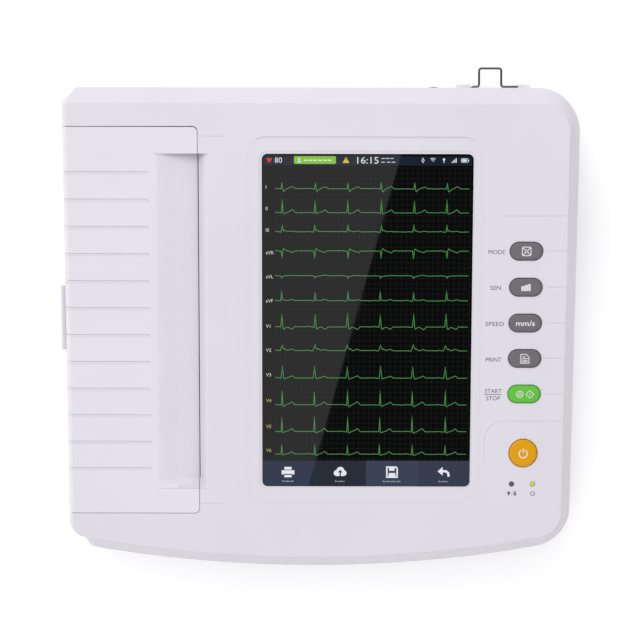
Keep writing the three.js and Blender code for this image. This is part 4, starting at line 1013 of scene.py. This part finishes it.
class Drawing:
    """Flat shapes in panel millimetres that become one thin piece."""

    def __init__(self):
        self.points = []
        self.faces = []
        self.origin = (0, 0)

    def at(self, u, v):
        """Moves the point that the next shapes are measured from."""
        self.origin = (u, v)
        return self

    def moved(self, points):
        return [(self.origin[0] + x, self.origin[1] + y) for x, y in points]

    def add(self, points, faces):
        """Adds points in the panel frame, and faces that index into them."""
        start = len(self.points)
        self.points += points
        self.faces += [tuple(start + i for i in face) for face in faces]
        return self

    def polygon(self, points):
        return self.add(self.moved(points), [range(len(points))])

    def bar(self, u, v):
        return self.polygon(oblong(u, v))

    def disc(self, u, v, radius, segments=24):
        return self.polygon(circle(u, v, radius, segments))

    def stroke(self, path, width, closed=False):
        """A line of even width with mitred corners."""
        path = [Vector(p) for p in self.moved(path)]
        count = len(path)
        points = []
        for i, here in enumerate(path):
            before = path[i - 1] if closed or i else here
            after = path[(i + 1) % count] if closed or i < count - 1 else here
            first = (here - before).normalized() if here != before else (after - here).normalized()
            last = (after - here).normalized() if after != here else first
            middle = (first + last).normalized() if (first + last).length > 0.05 else first
            reach = Vector((-middle.y, middle.x)) * (width / 2 / max(middle.dot(first), 0.45))
            points += [tuple(here + reach), tuple(here - reach)]
        ends = [(2 * i, 2 * ((i + 1) % count)) for i in range(count if closed else count - 1)]
        return self.add(points, [(a, a + 1, b + 1, b) for a, b in ends])

    def ring(self, u, v, radius, width, start=0.0, end=math.tau):
        path = arc(u, v, radius, start, end - start, 36)
        closed = end - start >= math.tau
        return self.stroke(path[:-1] if closed else path, width, closed)

    def text(self, words, u, v, height, width=None, bold=0):
        """Words with their left end at u and their middle at v, as tall as height."""
        curve = bpy.data.curves.new("words", "FONT")
        curve.body = words
        curve.offset = bold
        curve.resolution_u = 3
        holder = placed("words", curve)
        mesh = evaluated_mesh(holder)
        xs, ys = ([p.co[axis] for p in mesh.vertices] for axis in (0, 1))
        left, low = min(xs), min(ys)
        tall = height / (max(ys) - low)
        wide = width / (max(xs) - left) if width else tall
        points = [(u + (x - left) * wide, v + (y - low) * tall - height / 2) for x, y in zip(xs, ys)]
        self.add(self.moved(points), [face.vertices for face in mesh.polygons])
        bpy.data.objects.remove(holder)
        bpy.data.curves.remove(curve)
        bpy.data.meshes.remove(mesh)
        return self

    def piece(self, name, w, material, body, slot, thickness=0.05):
        """The drawing as a thin closed plate whose top stands at height w."""
        build = bmesh.new()
        verts = [build.verts.new((x, y, w - thickness)) for x, y in self.points]
        for face in self.faces:
            build.faces.new([verts[i] for i in face])
        bmesh.ops.recalc_face_normals(build, faces=build.faces)
        for face in build.faces:
            if face.normal.z < 0:
                face.normal_flip()
        lower = list(build.faces)
        raised = bmesh.ops.extrude_face_region(build, geom=lower, use_keep_orig=True)
        lifted = [e for e in raised["geom"] if isinstance(e, bmesh.types.BMVert)]
        bmesh.ops.translate(build, verts=lifted, vec=(0, 0, thickness))
        for face in lower:
            face.normal_flip()
        bmesh.ops.recalc_face_normals(build, faces=build.faces)
        mesh = bpy.data.meshes.new(name)
        build.to_mesh(mesh)
        build.free()
        mesh.transform(PANEL)
        mesh.materials.append(material)
        thing = placed(name, mesh)
        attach(thing, body)


PRINT_LIFT = 0.03
LABEL_HEIGHT = 2.75
LAMP_MARK_DROP = 6.5
KEY_FACE = 1.02  # about the height of a key cap's dished middle, which the marks are sunk into
MARK_LIFT = 0.06
MARK_DEPTH = 0.2

# word, key, left end, width, and how far its middle stands above the key's
LABELS = (
    ("MODE", "mode_key", 109.6, 10.7, -0.6),
    ("SEN", "sensitivity_key", 111.1, 6.8, -0.4),
    ("SPEED", "speed_key", 108.3, 12.1, -0.6),
    ("PRINT", "print_key", 108.8, 10.3, -0.8),
    ("START", "start_stop_key", 108.5, 10.9, 1.9),
    ("STOP", "start_stop_key", 109.4, 9.2, -2.9),
)


def print_labels():
    """Plain function words to the left of the keys, and a mark under each lamp."""
    labels = Drawing()
    for word, key, left, width, lift in LABELS:
        labels.text(word, left, panel_centre(key)[1] + lift, LABEL_HEIGHT, width)
    labels.bar((108.1, 119.5), around(panel_centre("start_stop_key")[1] - 0.4, 0.2))
    u, v = panel_centre("charge_lamp")
    labels.at(u, v - LAMP_MARK_DROP)
    labels.disc(-1.8, 0.7, 0.95, 12).bar((-2.2, -1.4), (-1.1, 0.2))
    labels.stroke([(-0.1, -0.9), (0.8, 1.3)], 0.26)
    labels.bar((1.5, 3.1), (-1.1, 0.5)).bar((1.8, 2.8), (0.8, 1.8))
    u, v = panel_centre("mains_lamp")
    labels.at(u, v - LAMP_MARK_DROP).stroke(rounded((-1.45, 1.45), (-1.0, 1.3), 1.1, 5), 0.42, True)
    labels.piece("key_labels", PRINT_LIFT, LABEL_INK, "case", "shell")


def print_key_marks():
    """A plain white mark on each key."""
    marks = {key: Drawing().at(*panel_centre(key)) for key in ALL_KEYS}
    mark = marks["mode_key"]
    mark.stroke(rounded((-2.8, 2.8), (-2.8, 2.8), 0.9, 3), 0.6, True).ring(0, 0, 0.85, 0.45)
    for a, b in ((1, 1), (1, -1), (-1, 1), (-1, -1)):
        mark.stroke([(0.75 * a, 0.75 * b), (2.3 * a, 2.3 * b)], 0.6)
    for i in range(4):
        start = -3.1 + 1.55 * i
        marks["sensitivity_key"].bar((start, start + 1.4), (-2.3, 0.8 + 0.48 * i))
    marks["speed_key"].text("mm/s", -6.2, 0, 3.5, 12.4, 0.018)
    mark = marks["print_key"]
    mark.stroke([(-2.7, -2.9), (2.7, -2.9), (2.7, 1.0), (0.9, 2.9), (-2.7, 2.9)], 0.55, True)
    for v, end in ((1.2, 0.4), (0.1, 1.8), (-1.0, 1.8), (-2.0, 1.8)):
        mark.bar((-1.8, end), around(v, 0.26))
    mark = marks["start_stop_key"]
    middle = -2.9
    mark.ring(middle, 0, 2.2, 0.45).ring(middle, 0.2, 0.8, 0.4)
    for a, b in arc(0, 0, 1, math.pi / 2, math.tau, 3)[:-1]:
        mark.stroke([(middle + 0.9 * a, 0.9 * b), (middle + 2.1 * a, 2.1 * b)], 0.5)
    mark.stroke([(1.0, 0), (3.6, 2.6), (6.2, 0), (3.6, -2.6)], 0.45, True)
    mark.stroke([(3.2, -0.8), (4.0, 0.8)], 0.4)
    mark = marks["power_key"]
    mark.ring(0, -0.2, 2.7, 0.75, math.radians(122), math.radians(418)).bar((-0.4, 0.4), (0.5, 3.3))
    for key, mark in marks.items():
        mark.piece(f"{key}_mark", KEY_FACE + MARK_LIFT, KEY_INK, key, "white_plastic", MARK_DEPTH)


# ---------------- screen picture

PICTURE = GLASS_TOP + 0.02
LAYER = 0.03  # each layer of the picture stands this much above the last

# name, distance of the line below the top edge, heights of the R, S and T waves, half width of R,
# and how far the name stands above the line
LEADS = (
    ("I", 22.5, 3.9, -2.0, 1.3, 0.6, 1.0),
    ("II", 38.1, 8.4, -0.6, 1.9, 0.6, 2.6),
    ("III", 50.5, 4.6, 1.0, 0.4, 0.7, 1.0),
    ("aVR", 63.0, -5.2, 1.4, -1.1, 0.6, -1.3),
    ("aVL", 79.3, -1.7, -0.6, 0.3, 0.7, -0.7),
    ("aVF", 95.7, 6.3, 0.5, 0.8, 0.6, -0.2),
    ("V1", 113.0, 8.8, -1.5, -1.6, 0.8, 0.4),
    ("V2", 128.7, 3.7, 1.3, 0.9, 1.4, 0.2),
    ("V3", 146.9, 7.9, -0.6, 1.3, 0.9, 2.0),
    ("V4", 164.8, 9.8, -1.2, 1.9, 0.5, 2.7),
    ("V5", 182.7, 10.4, -0.9, 1.9, 0.5, 3.3),
    ("V6", 197.9, 6.6, -0.8, 1.6, 0.5, 2.5),
)
BEAT_FIRST = 13.0
BEAT_PITCH = 21.5
BEAT_COUNT = 6
TRACE_START = 8.6
TRACE_END = 134.6
TRACE_WIDTH = 0.38
NAME_LEFT = 2.5
NAME_HEIGHT = 2.2
GRID_PITCH = 3.43
GRID_HALF = 0.07
GRID_X = (8.6, 136.0)
GRID_Y = (9.0, 202.0)
STATUS_MIDDLE = 4.1
MENU_TOP = 202.3
MENU_MIDDLE = 210.0
CAPTION_MIDDLE = 216.2
MENU_X = (16.9, 51.4, 85.8, 120.0)


def on_screen(x, y):
    """x to the right and y down, in millimetres from the screen's top left corner."""
    return SCREEN_U[0] + x, SCREEN_V[1] - y


def show(drawing, name, layer, light, colour):
    """Puts a drawing on the glass as a lit part of the screen picture."""
    material = lit(f"{light}_light", colour)
    drawing.piece(f"screen_{name}", PICTURE + LAYER * layer, material, "case", "screen_glass")


def heartbeat(peak, dip, tail, half):
    """One beat as (distance from the R wave, height)."""
    return [
        (-5.0, 0), (-4.0, 0.25), (-3.2, 0.05), (-1.2 - half, -0.1), (-half, -0.15),
        (-half * 0.45, peak * 0.45), (0, peak), (half * 0.5, peak * 0.45), (half, dip * 0.6),
        (half + 0.6, dip), (half + 1.5, dip * 0.4), (3.6, tail * 0.1), (5.2, tail * 0.5), (6.1, tail * 0.9),
        (6.7, tail), (7.4, tail * 0.6), (8.4, 0.05), (9.6, 0),
    ]


def draw_traces():
    traces = Drawing()
    names = {"limb": Drawing(), "chest": Drawing()}
    for index, (name, line, peak, dip, tail, half, rise) in enumerate(LEADS):
        path = [on_screen(TRACE_START, line)]
        for beat in range(BEAT_COUNT):
            centre = BEAT_FIRST + BEAT_PITCH * beat + 0.25 * math.sin(index + 2 * beat)
            swell = 1 + 0.06 * math.sin(1.7 * index + 2.3 * beat)
            for dx, height in heartbeat(peak * swell, dip, tail, half):
                x = centre + dx
                if TRACE_START < x < TRACE_END:
                    drift = 0.12 * math.sin(0.7 * x + index)
                    path.append(on_screen(x, line - height - drift))
        path.append(on_screen(TRACE_END, line))
        traces.stroke(path, TRACE_WIDTH)
        group = names["chest" if name in ("V4", "V5", "V6") else "limb"]
        group.text(name, *on_screen(NAME_LEFT, line - rise), NAME_HEIGHT)
    show(traces, "traces", 2, "trace", (0.075, 0.31, 0.072))
    show(names["limb"], "limb_lead_names", 2, "limb_name", (0.60, 0.62, 0.60))
    show(names["chest"], "chest_lead_names", 2, "chest_name", (0.44, 0.44, 0.10))


def draw_grid():
    """Faint measuring grid behind the traces."""
    grid = Drawing().at(*on_screen(0, 0))
    top, bottom = GRID_Y
    for i in range(int((GRID_X[1] - GRID_X[0]) / GRID_PITCH) + 1):
        grid.bar(around(GRID_X[0] + GRID_PITCH * i, GRID_HALF), (-bottom, -top))
    for i in range(int((bottom - top) / GRID_PITCH) + 1):
        grid.bar(GRID_X, around(-top - GRID_PITCH * i, GRID_HALF))
    show(grid, "grid", 1, "grid", (0.013, 0.014, 0.013))


def draw_block(name, x, y, colour):
    """A block of the picture, with the screen's own round corners where it reaches them."""
    near = 0.5
    corners = []
    for a, b in oblong(x, y):
        apart = near <= a <= SCREEN_WIDTH - near or near <= b <= SCREEN_HEIGHT - near
        corners.append((*on_screen(a, b), 0 if apart else SCREEN_CORNER))
    show(Drawing().polygon(filleted(corners, 6)), name, 1, f"screen_{name}", colour)


def draw_status_bar():
    """Pulse, patient field, warning sign, clock and small state marks along the top."""
    def spot(x):
        return on_screen(x, STATUS_MIDDLE)

    bar_x = grown((0, SCREEN_WIDTH), -1.0)
    draw_block("status_bar", bar_x, (7.5, 1.5), (0.005, 0.011, 0.021))
    heart = Drawing().at(*spot(4.8)).disc(-0.75, 0.5, 0.95, 16).disc(0.75, 0.5, 0.95, 16)
    heart.polygon([(-1.6, 0.15), (0, -1.8), (1.6, 0.15), (0, 0.6)])
    show(heart, "heart", 2, "heart", (0.62, 0.03, 0.03))
    field = Drawing().at(*spot(0)).polygon(rounded((20.8, 48.0), (-2.4, 2.6), 0.8, 4))
    show(field, "patient_field", 2, "field", (0.22, 0.50, 0.035))
    warning = Drawing().at(*spot(54.5)).polygon([(-2.1, -1.7), (2.1, -1.7), (0, 2.0)])
    show(warning, "warning", 2, "warning", (0.75, 0.60, 0.04))

    white = Drawing().at(*spot(8.4)).text("80", 0, 0, 3.5, 4.7)
    white.at(*spot(61.8)).text("16:15", 0, 0, 4.3, 13.8)
    for dy, starts in ((-1.2, (77.4, 80.2, 83.0)), (1.2, (77.4, 81.0, 84.2))):
        for start in starts:
            white.at(*on_screen(start, STATUS_MIDDLE + dy)).bar((0, 2.3), (-0.22, 0.22))
    white.at(*spot(24.2)).disc(0, 0.7, 0.75, 14)
    white.polygon([(-1.2, -1.5), (1.2, -1.5), (0.8, -0.3), (-0.8, -0.3)])
    for k in range(6):
        white.at(*spot(27.2 + 3.1 * k)).bar((0, 2.4), (-0.45, 0.35))
    white.at(*spot(104.4)).stroke([(-0.8, 0), (0, -1.4), (0.8, 0), (0, 1.4)], 0.4, True)
    white.at(*on_screen(110.9, STATUS_MIDDLE + 1.2))
    for radius in (0.9, 1.8, 2.7):
        white.ring(0, 0, radius, 0.35, math.radians(50), math.radians(130))
    white.at(*spot(118.0)).disc(0, 0.6, 0.8, 14).bar((-0.25, 0.25), (-1.6, 0))
    white.at(*spot(124.5))
    for k in range(4):
        white.bar((-1.6 + 0.9 * k, -1.0 + 0.9 * k), (-1.5, -0.8 + 0.75 * k))
    white.at(*spot(131.6)).stroke(rounded((-2.4, 2.0), (-1.2, 1.2), 0.4, 3), 0.3, True)
    white.bar((-1.9, 1.1), (-0.8, 0.8)).bar((2.1, 2.6), (-0.5, 0.5))
    show(white, "status_marks", 3, "status", (0.72, 0.74, 0.76))
    mark = Drawing().at(*spot(54.5)).bar((-0.25, 0.25), (-0.4, 1.1)).bar((-0.25, 0.25), (-1.25, -0.8))
    show(mark, "warning_mark", 3, "dark", (0.01, 0.01, 0.01))


def draw_menu():
    """Four tabs along the bottom: print, send, save and return."""
    inset = 0.05
    edges = (inset, 34.1, 68.6, 103.4, SCREEN_WIDTH - inset)
    shades = ((0.008, 0.018, 0.046), (0.016, 0.021, 0.034), (0.040, 0.050, 0.088), (0.033, 0.041, 0.070))
    for i, colour in enumerate(shades):
        draw_block(f"tab_{i + 1}", edges[i:i + 2], (SCREEN_HEIGHT - inset, MENU_TOP), colour)

    icons = Drawing()
    print_at, send_at, save_at, return_at = (on_screen(x, MENU_MIDDLE) for x in MENU_X)
    icons.at(*print_at)
    for half, v in ((2.4, (1.6, 3.4)), (4.2, (-1.7, 1.1)), (2.4, (-3.6, -2.0))):
        icons.bar((-half, half), v)
    icons.at(*send_at).disc(-2.2, -0.7, 2.0).disc(2.4, -0.7, 1.9).disc(0.2, 0.9, 2.6)
    icons.bar((-2.2, 2.4), (-2.7, -0.5)).polygon([(-1.6, -2.6), (1.6, -2.6), (0, -0.6)])
    icons.at(*save_at).stroke([(-3.4, -3.4), (3.4, -3.4), (3.4, 2.6), (2.6, 3.4), (-3.4, 3.4)], 1.0, True)
    icons.bar((-1.9, 1.7), (0.9, 3.2)).bar((-2.2, 2.2), (-3.2, -0.6))
    icons.at(*return_at).polygon([(-4.0, 0.6), (-0.6, 3.6), (-0.6, -2.2)])
    icons.stroke([(-0.8, 0.7), (1.6, 0.6), (3.0, -0.6), (3.4, -3.0)], 1.5)
    captions = Drawing()
    for x, strokes in zip(MENU_X, (7, 6, 11, 6)):
        captions.at(*on_screen(x, CAPTION_MIDDLE))
        for k in range(strokes):
            start = 1.1 * (k - strokes / 2)
            captions.bar((start, start + 0.8), (-0.45, 0.1 + 0.3 * (k % 3 == 0)))
    show(captions, "captions", 2, "caption", (0.34, 0.35, 0.38))
    cuts = Drawing().at(send_at[0] + 0.1, send_at[1]).polygon([(-1.6, -0.3), (1.6, -0.3), (0, 1.5)])
    cuts.bar((-0.45, 0.45), (-2.7, 0))
    cuts.at(*print_at).bar((-2.9, 2.9), (-1.75, -1.25)).bar((-2.7, 2.7), (1.2, 1.6))
    show(cuts, "icon_cuts", 3, "cut", (0.018, 0.022, 0.034))
    show(icons, "menu_marks", 2, "menu", (0.78, 0.80, 0.84))


# ---------------- wire bail

WIRE_RADIUS = 0.75
WIRE_BEND = 1.9


def bail_path():
    """The bail's centre line: two pivots, two arms, and a loop that reaches over the plug."""
    low, high = (Vector(corner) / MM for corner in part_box("cord_bail"))
    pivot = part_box("bail_bracket_left")
    z = (pivot[0][2] + pivot[1][2]) / 2 / MM
    middle = (low.x + high.x) / 2
    reach = high.x - middle
    arm, loop, shift = 14.7, 7.35, -3.4
    y, rear, top = low.y + WIRE_RADIUS, high.y - WIRE_RADIUS, high.z - WIRE_RADIUS
    corners = [
        (-reach, y, z), (-arm, y, z), (-arm, y, top), (shift - loop, y, top), (shift - loop, rear, top),
        (shift + loop, rear, top), (shift + loop, y, top), (arm, y, top), (arm, y, z), (reach, y, z),
    ]
    return bend_path([Vector((middle + x, a, b)) for x, a, b in corners], WIRE_BEND)


def bend_path(corners, bend):
    """A path through the corners with an even bend at each inner one."""
    path = [corners[0]]
    for before, here, after in zip(corners, corners[1:], corners[2:]):
        start = here + (before - here).normalized() * bend
        end = here + (after - here).normalized() * bend
        for k in range(9):
            t = k / 8
            path.append(start * (1 - t) ** 2 + here * 2 * t * (1 - t) + end * t ** 2)
    return path + [corners[-1]]


def build_bail():
    """The wire that swings down over the plug, as one smooth bent tube."""
    path = bail_path()
    curve = bpy.data.curves.new("bail_wire", "CURVE")
    curve.dimensions = "3D"
    curve.bevel_depth = WIRE_RADIUS * MM
    curve.bevel_resolution = 5
    curve.use_fill_caps = True
    line = curve.splines.new("POLY")
    line.points.add(len(path) - 1)
    line.use_smooth = True
    for point, p in zip(line.points, path):
        point.co = (*(p * MM), 1)
    curve.materials.append(BAIL_WIRE)
    thing = placed("bail_wire", curve)
    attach(thing, "bail")
    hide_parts("cord_bail")


# ---------------- CAD nodes that stay

KEPT = {
    COVER: ["release_button"],
    SHADED_BASE: ["battery_cover"],
    BRACKET: ["bail_bracket_left", "bail_bracket_right"],
    WHITE: ["latch_bar", "platen_bearing_front", "platen_bearing_rear", "platen_gear", "paper_bin"],
    BLACK: ["mains_inlet", "network_port", "paper_spindle", "speaker"],
    WIRE: ["release_spring", "head_spring_front", "head_spring_rear", "platen_shaft"],
    SHEET: ["cover_frame", "printer_frame", "hinge_bracket", "display_bracket", "tear_bar", "usb_port"],
    DARK_STEEL: ["hinge_pin", "stepper_motor", "patient_connector", *CASE_SCREWS, *BATTERY_SCREWS],
    ALUMINIUM: ["heat_sink", "display_module"],
    BRASS: ["motor_rotor", "earth_terminal"],
    ROLLER: ["platen_roller"],
    FOOT: FEET,
    FOAM: ["screen_gasket"],
    BOARD: ["main_board", "key_board", "power_supply_board"],
    CERAMIC: ["print_head"],
    WRAP: ["battery_pack"],
    GLASS: ["touch_glass"],
}
EDGES = {"release_button": 0.35, "bail_bracket_left": 0.6, "bail_bracket_right": 0.6, "mains_inlet": 0.3}
FINE_EDGE = 0.15


def dress_cad_nodes():
    for material, nodes in KEPT.items():
        for name in nodes:
            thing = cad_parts[name]
            thing.data.materials.clear()
            thing.data.materials.append(material)
            modify(thing, "flatten", "DECIMATE", decimate_type="DISSOLVE", angle_limit=math.radians(1))
            modify(thing, "edge", "BEVEL", width=EDGES.get(name, FINE_EDGE) * MM, segments=2,
                   limit_method="ANGLE", angle_limit=math.radians(35))
            modify(thing, "flats", "WEIGHTED_NORMAL", keep_sharp=True)


# ---------------- stage

FLOOR_REACH = (-6000, 6000)
FLOOR_GLOW = 0.19
ROOM_SLANT = (-0.35, 0.11, 0.60)  # the world is brighter towards this side
ROOM_LIGHT = 0.52
ROOM_FOR_GLOSS = 0.05
SOFTBOX_WATTS = 11.5
CARD_WATTS = 0.7


def build_floor():
    paint = Paint("pale_floor", 0.75)
    paint.set("Base Color", paint.colours(paint.noise(6), (0.93, 0.93, 0.935), (0.95, 0.95, 0.955)))
    paint.bump(paint.noise(500, 2), 0.05, 0.0001)
    paint.glow((1, 1, 1), FLOOR_GLOW)
    floor = solid(at_level(oblong(FLOOR_REACH, FLOOR_REACH), 0), [(0, 1, 2, 3)])
    floor.name = "floor"
    floor.data.transform(Matrix.Scale(MM, 4))
    floor.data.materials.append(paint.material)


def build_world():
    """White light from all round, weaker low down and from the right and front.

    Gloss sees it as a dim room.
    """
    world = bpy.data.worlds.new("studio")
    world.use_nodes = True
    tree = world.node_tree
    background = next(n for n in tree.nodes if n.type == "BACKGROUND")
    place = add_node(tree, "ShaderNodeTexCoord").outputs["Generated"]
    sockets = {0: place, 1: ROOM_SLANT}
    slant = add_node(tree, "ShaderNodeVectorMath", sockets, operation="DOT_PRODUCT")
    lift = add_node(tree, "ShaderNodeMath", {0: slant.outputs["Value"], 1: ROOM_LIGHT})
    path = add_node(tree, "ShaderNodeLightPath")
    sockets = {"Factor": path.outputs["Is Glossy Ray"], 2: lift.outputs["Value"], 3: ROOM_FOR_GLOSS}
    mix = add_node(tree, "ShaderNodeMix", sockets, data_type="FLOAT")
    feed(tree, background.inputs["Strength"], mix.outputs[0])
    feed(tree, background.inputs["Color"], (1, 1, 1, 1))
    bpy.context.scene.world = world


def build_camera():
    """Almost straight down, leaning back a little, as the object is pictured."""
    tilt = math.radians(3.4)
    roll = math.radians(0.12)
    distance = 1.16267
    back = Vector((0, math.sin(tilt), math.cos(tilt)))
    across = Vector((1, 0, 0))
    up = back.cross(across)
    right = across * math.cos(roll) + up * math.sin(roll)
    top = -across * math.sin(roll) + up * math.cos(roll)
    data = bpy.data.cameras.new("camera")
    data.lens = 100
    data.sensor_width = 36
    data.clip_start = 0.05
    data.clip_end = 50
    camera = placed("camera", data)
    turn = Matrix((right, top, back)).transposed().to_4x4()
    camera.matrix_world = Matrix.Translation(ORIGIN * MM + back * distance) @ turn
    bpy.context.scene.camera = camera


def area_light(name, size, watts):
    light = bpy.data.lights.new(name, "AREA")
    light.shape = "RECTANGLE"
    light.size, light.size_y = size
    light.energy = watts
    return placed(name, light)


def build_softbox():
    """The main light, high up behind the object."""
    lamp = area_light("rear_softbox", (1.7, 1.0), SOFTBOX_WATTS)
    lamp.location = (-0.4, 1.5, 1.9)
    aim = Vector((0, 0, 0.05)) - lamp.location
    lamp.rotation_euler = aim.to_track_quat("-Z", "Y").to_euler()


def build_reflection_card():
    """A pale card over the panel. The glass mirrors it, and its right edge crosses the screen."""
    height = 1.53
    width, length = 0.34, 1.1
    edge_start, edge_end = Vector((-0.0063, -0.4184)), Vector((0.117, 0.0352))
    along = (edge_end - edge_start).normalized()
    across = Vector((along.y, -along.x))
    middle = (edge_start + edge_end) / 2 - across * width / 2
    card = area_light("screen_card", (width, length), CARD_WATTS)
    turn = Matrix(((across.x, along.x, 0), (across.y, along.y, 0), (0, 0, 1))).to_4x4()
    lean = Matrix.Translation(ORIGIN * MM) @ Matrix.Rotation(SLOPE, 4, "X")
    card.matrix_world = lean @ Matrix.Translation((*middle, height)) @ turn


# ---------------- assembly

bpy.context.scene.view_settings.view_transform = "Standard"
build_camera()
build_world()
build_softbox()
build_reflection_card()
build_floor()

finish_piece(case_top(), "case_top_shell", SHELL, "case", "top_cover", 0.22)
finish_piece(paper_door(), "paper_door_shell", COVER, "paper_cover", "paper_cover", 0.25)
finish_piece(case_base(), "case_base_shell", SHADED_BASE, "case", "base_shell", 0.3)
build_keys()
build_lamps()
build_bail()
print_labels()
print_key_marks()
draw_grid()
draw_traces()
draw_status_bar()
draw_menu()
dress_cad_nodes()
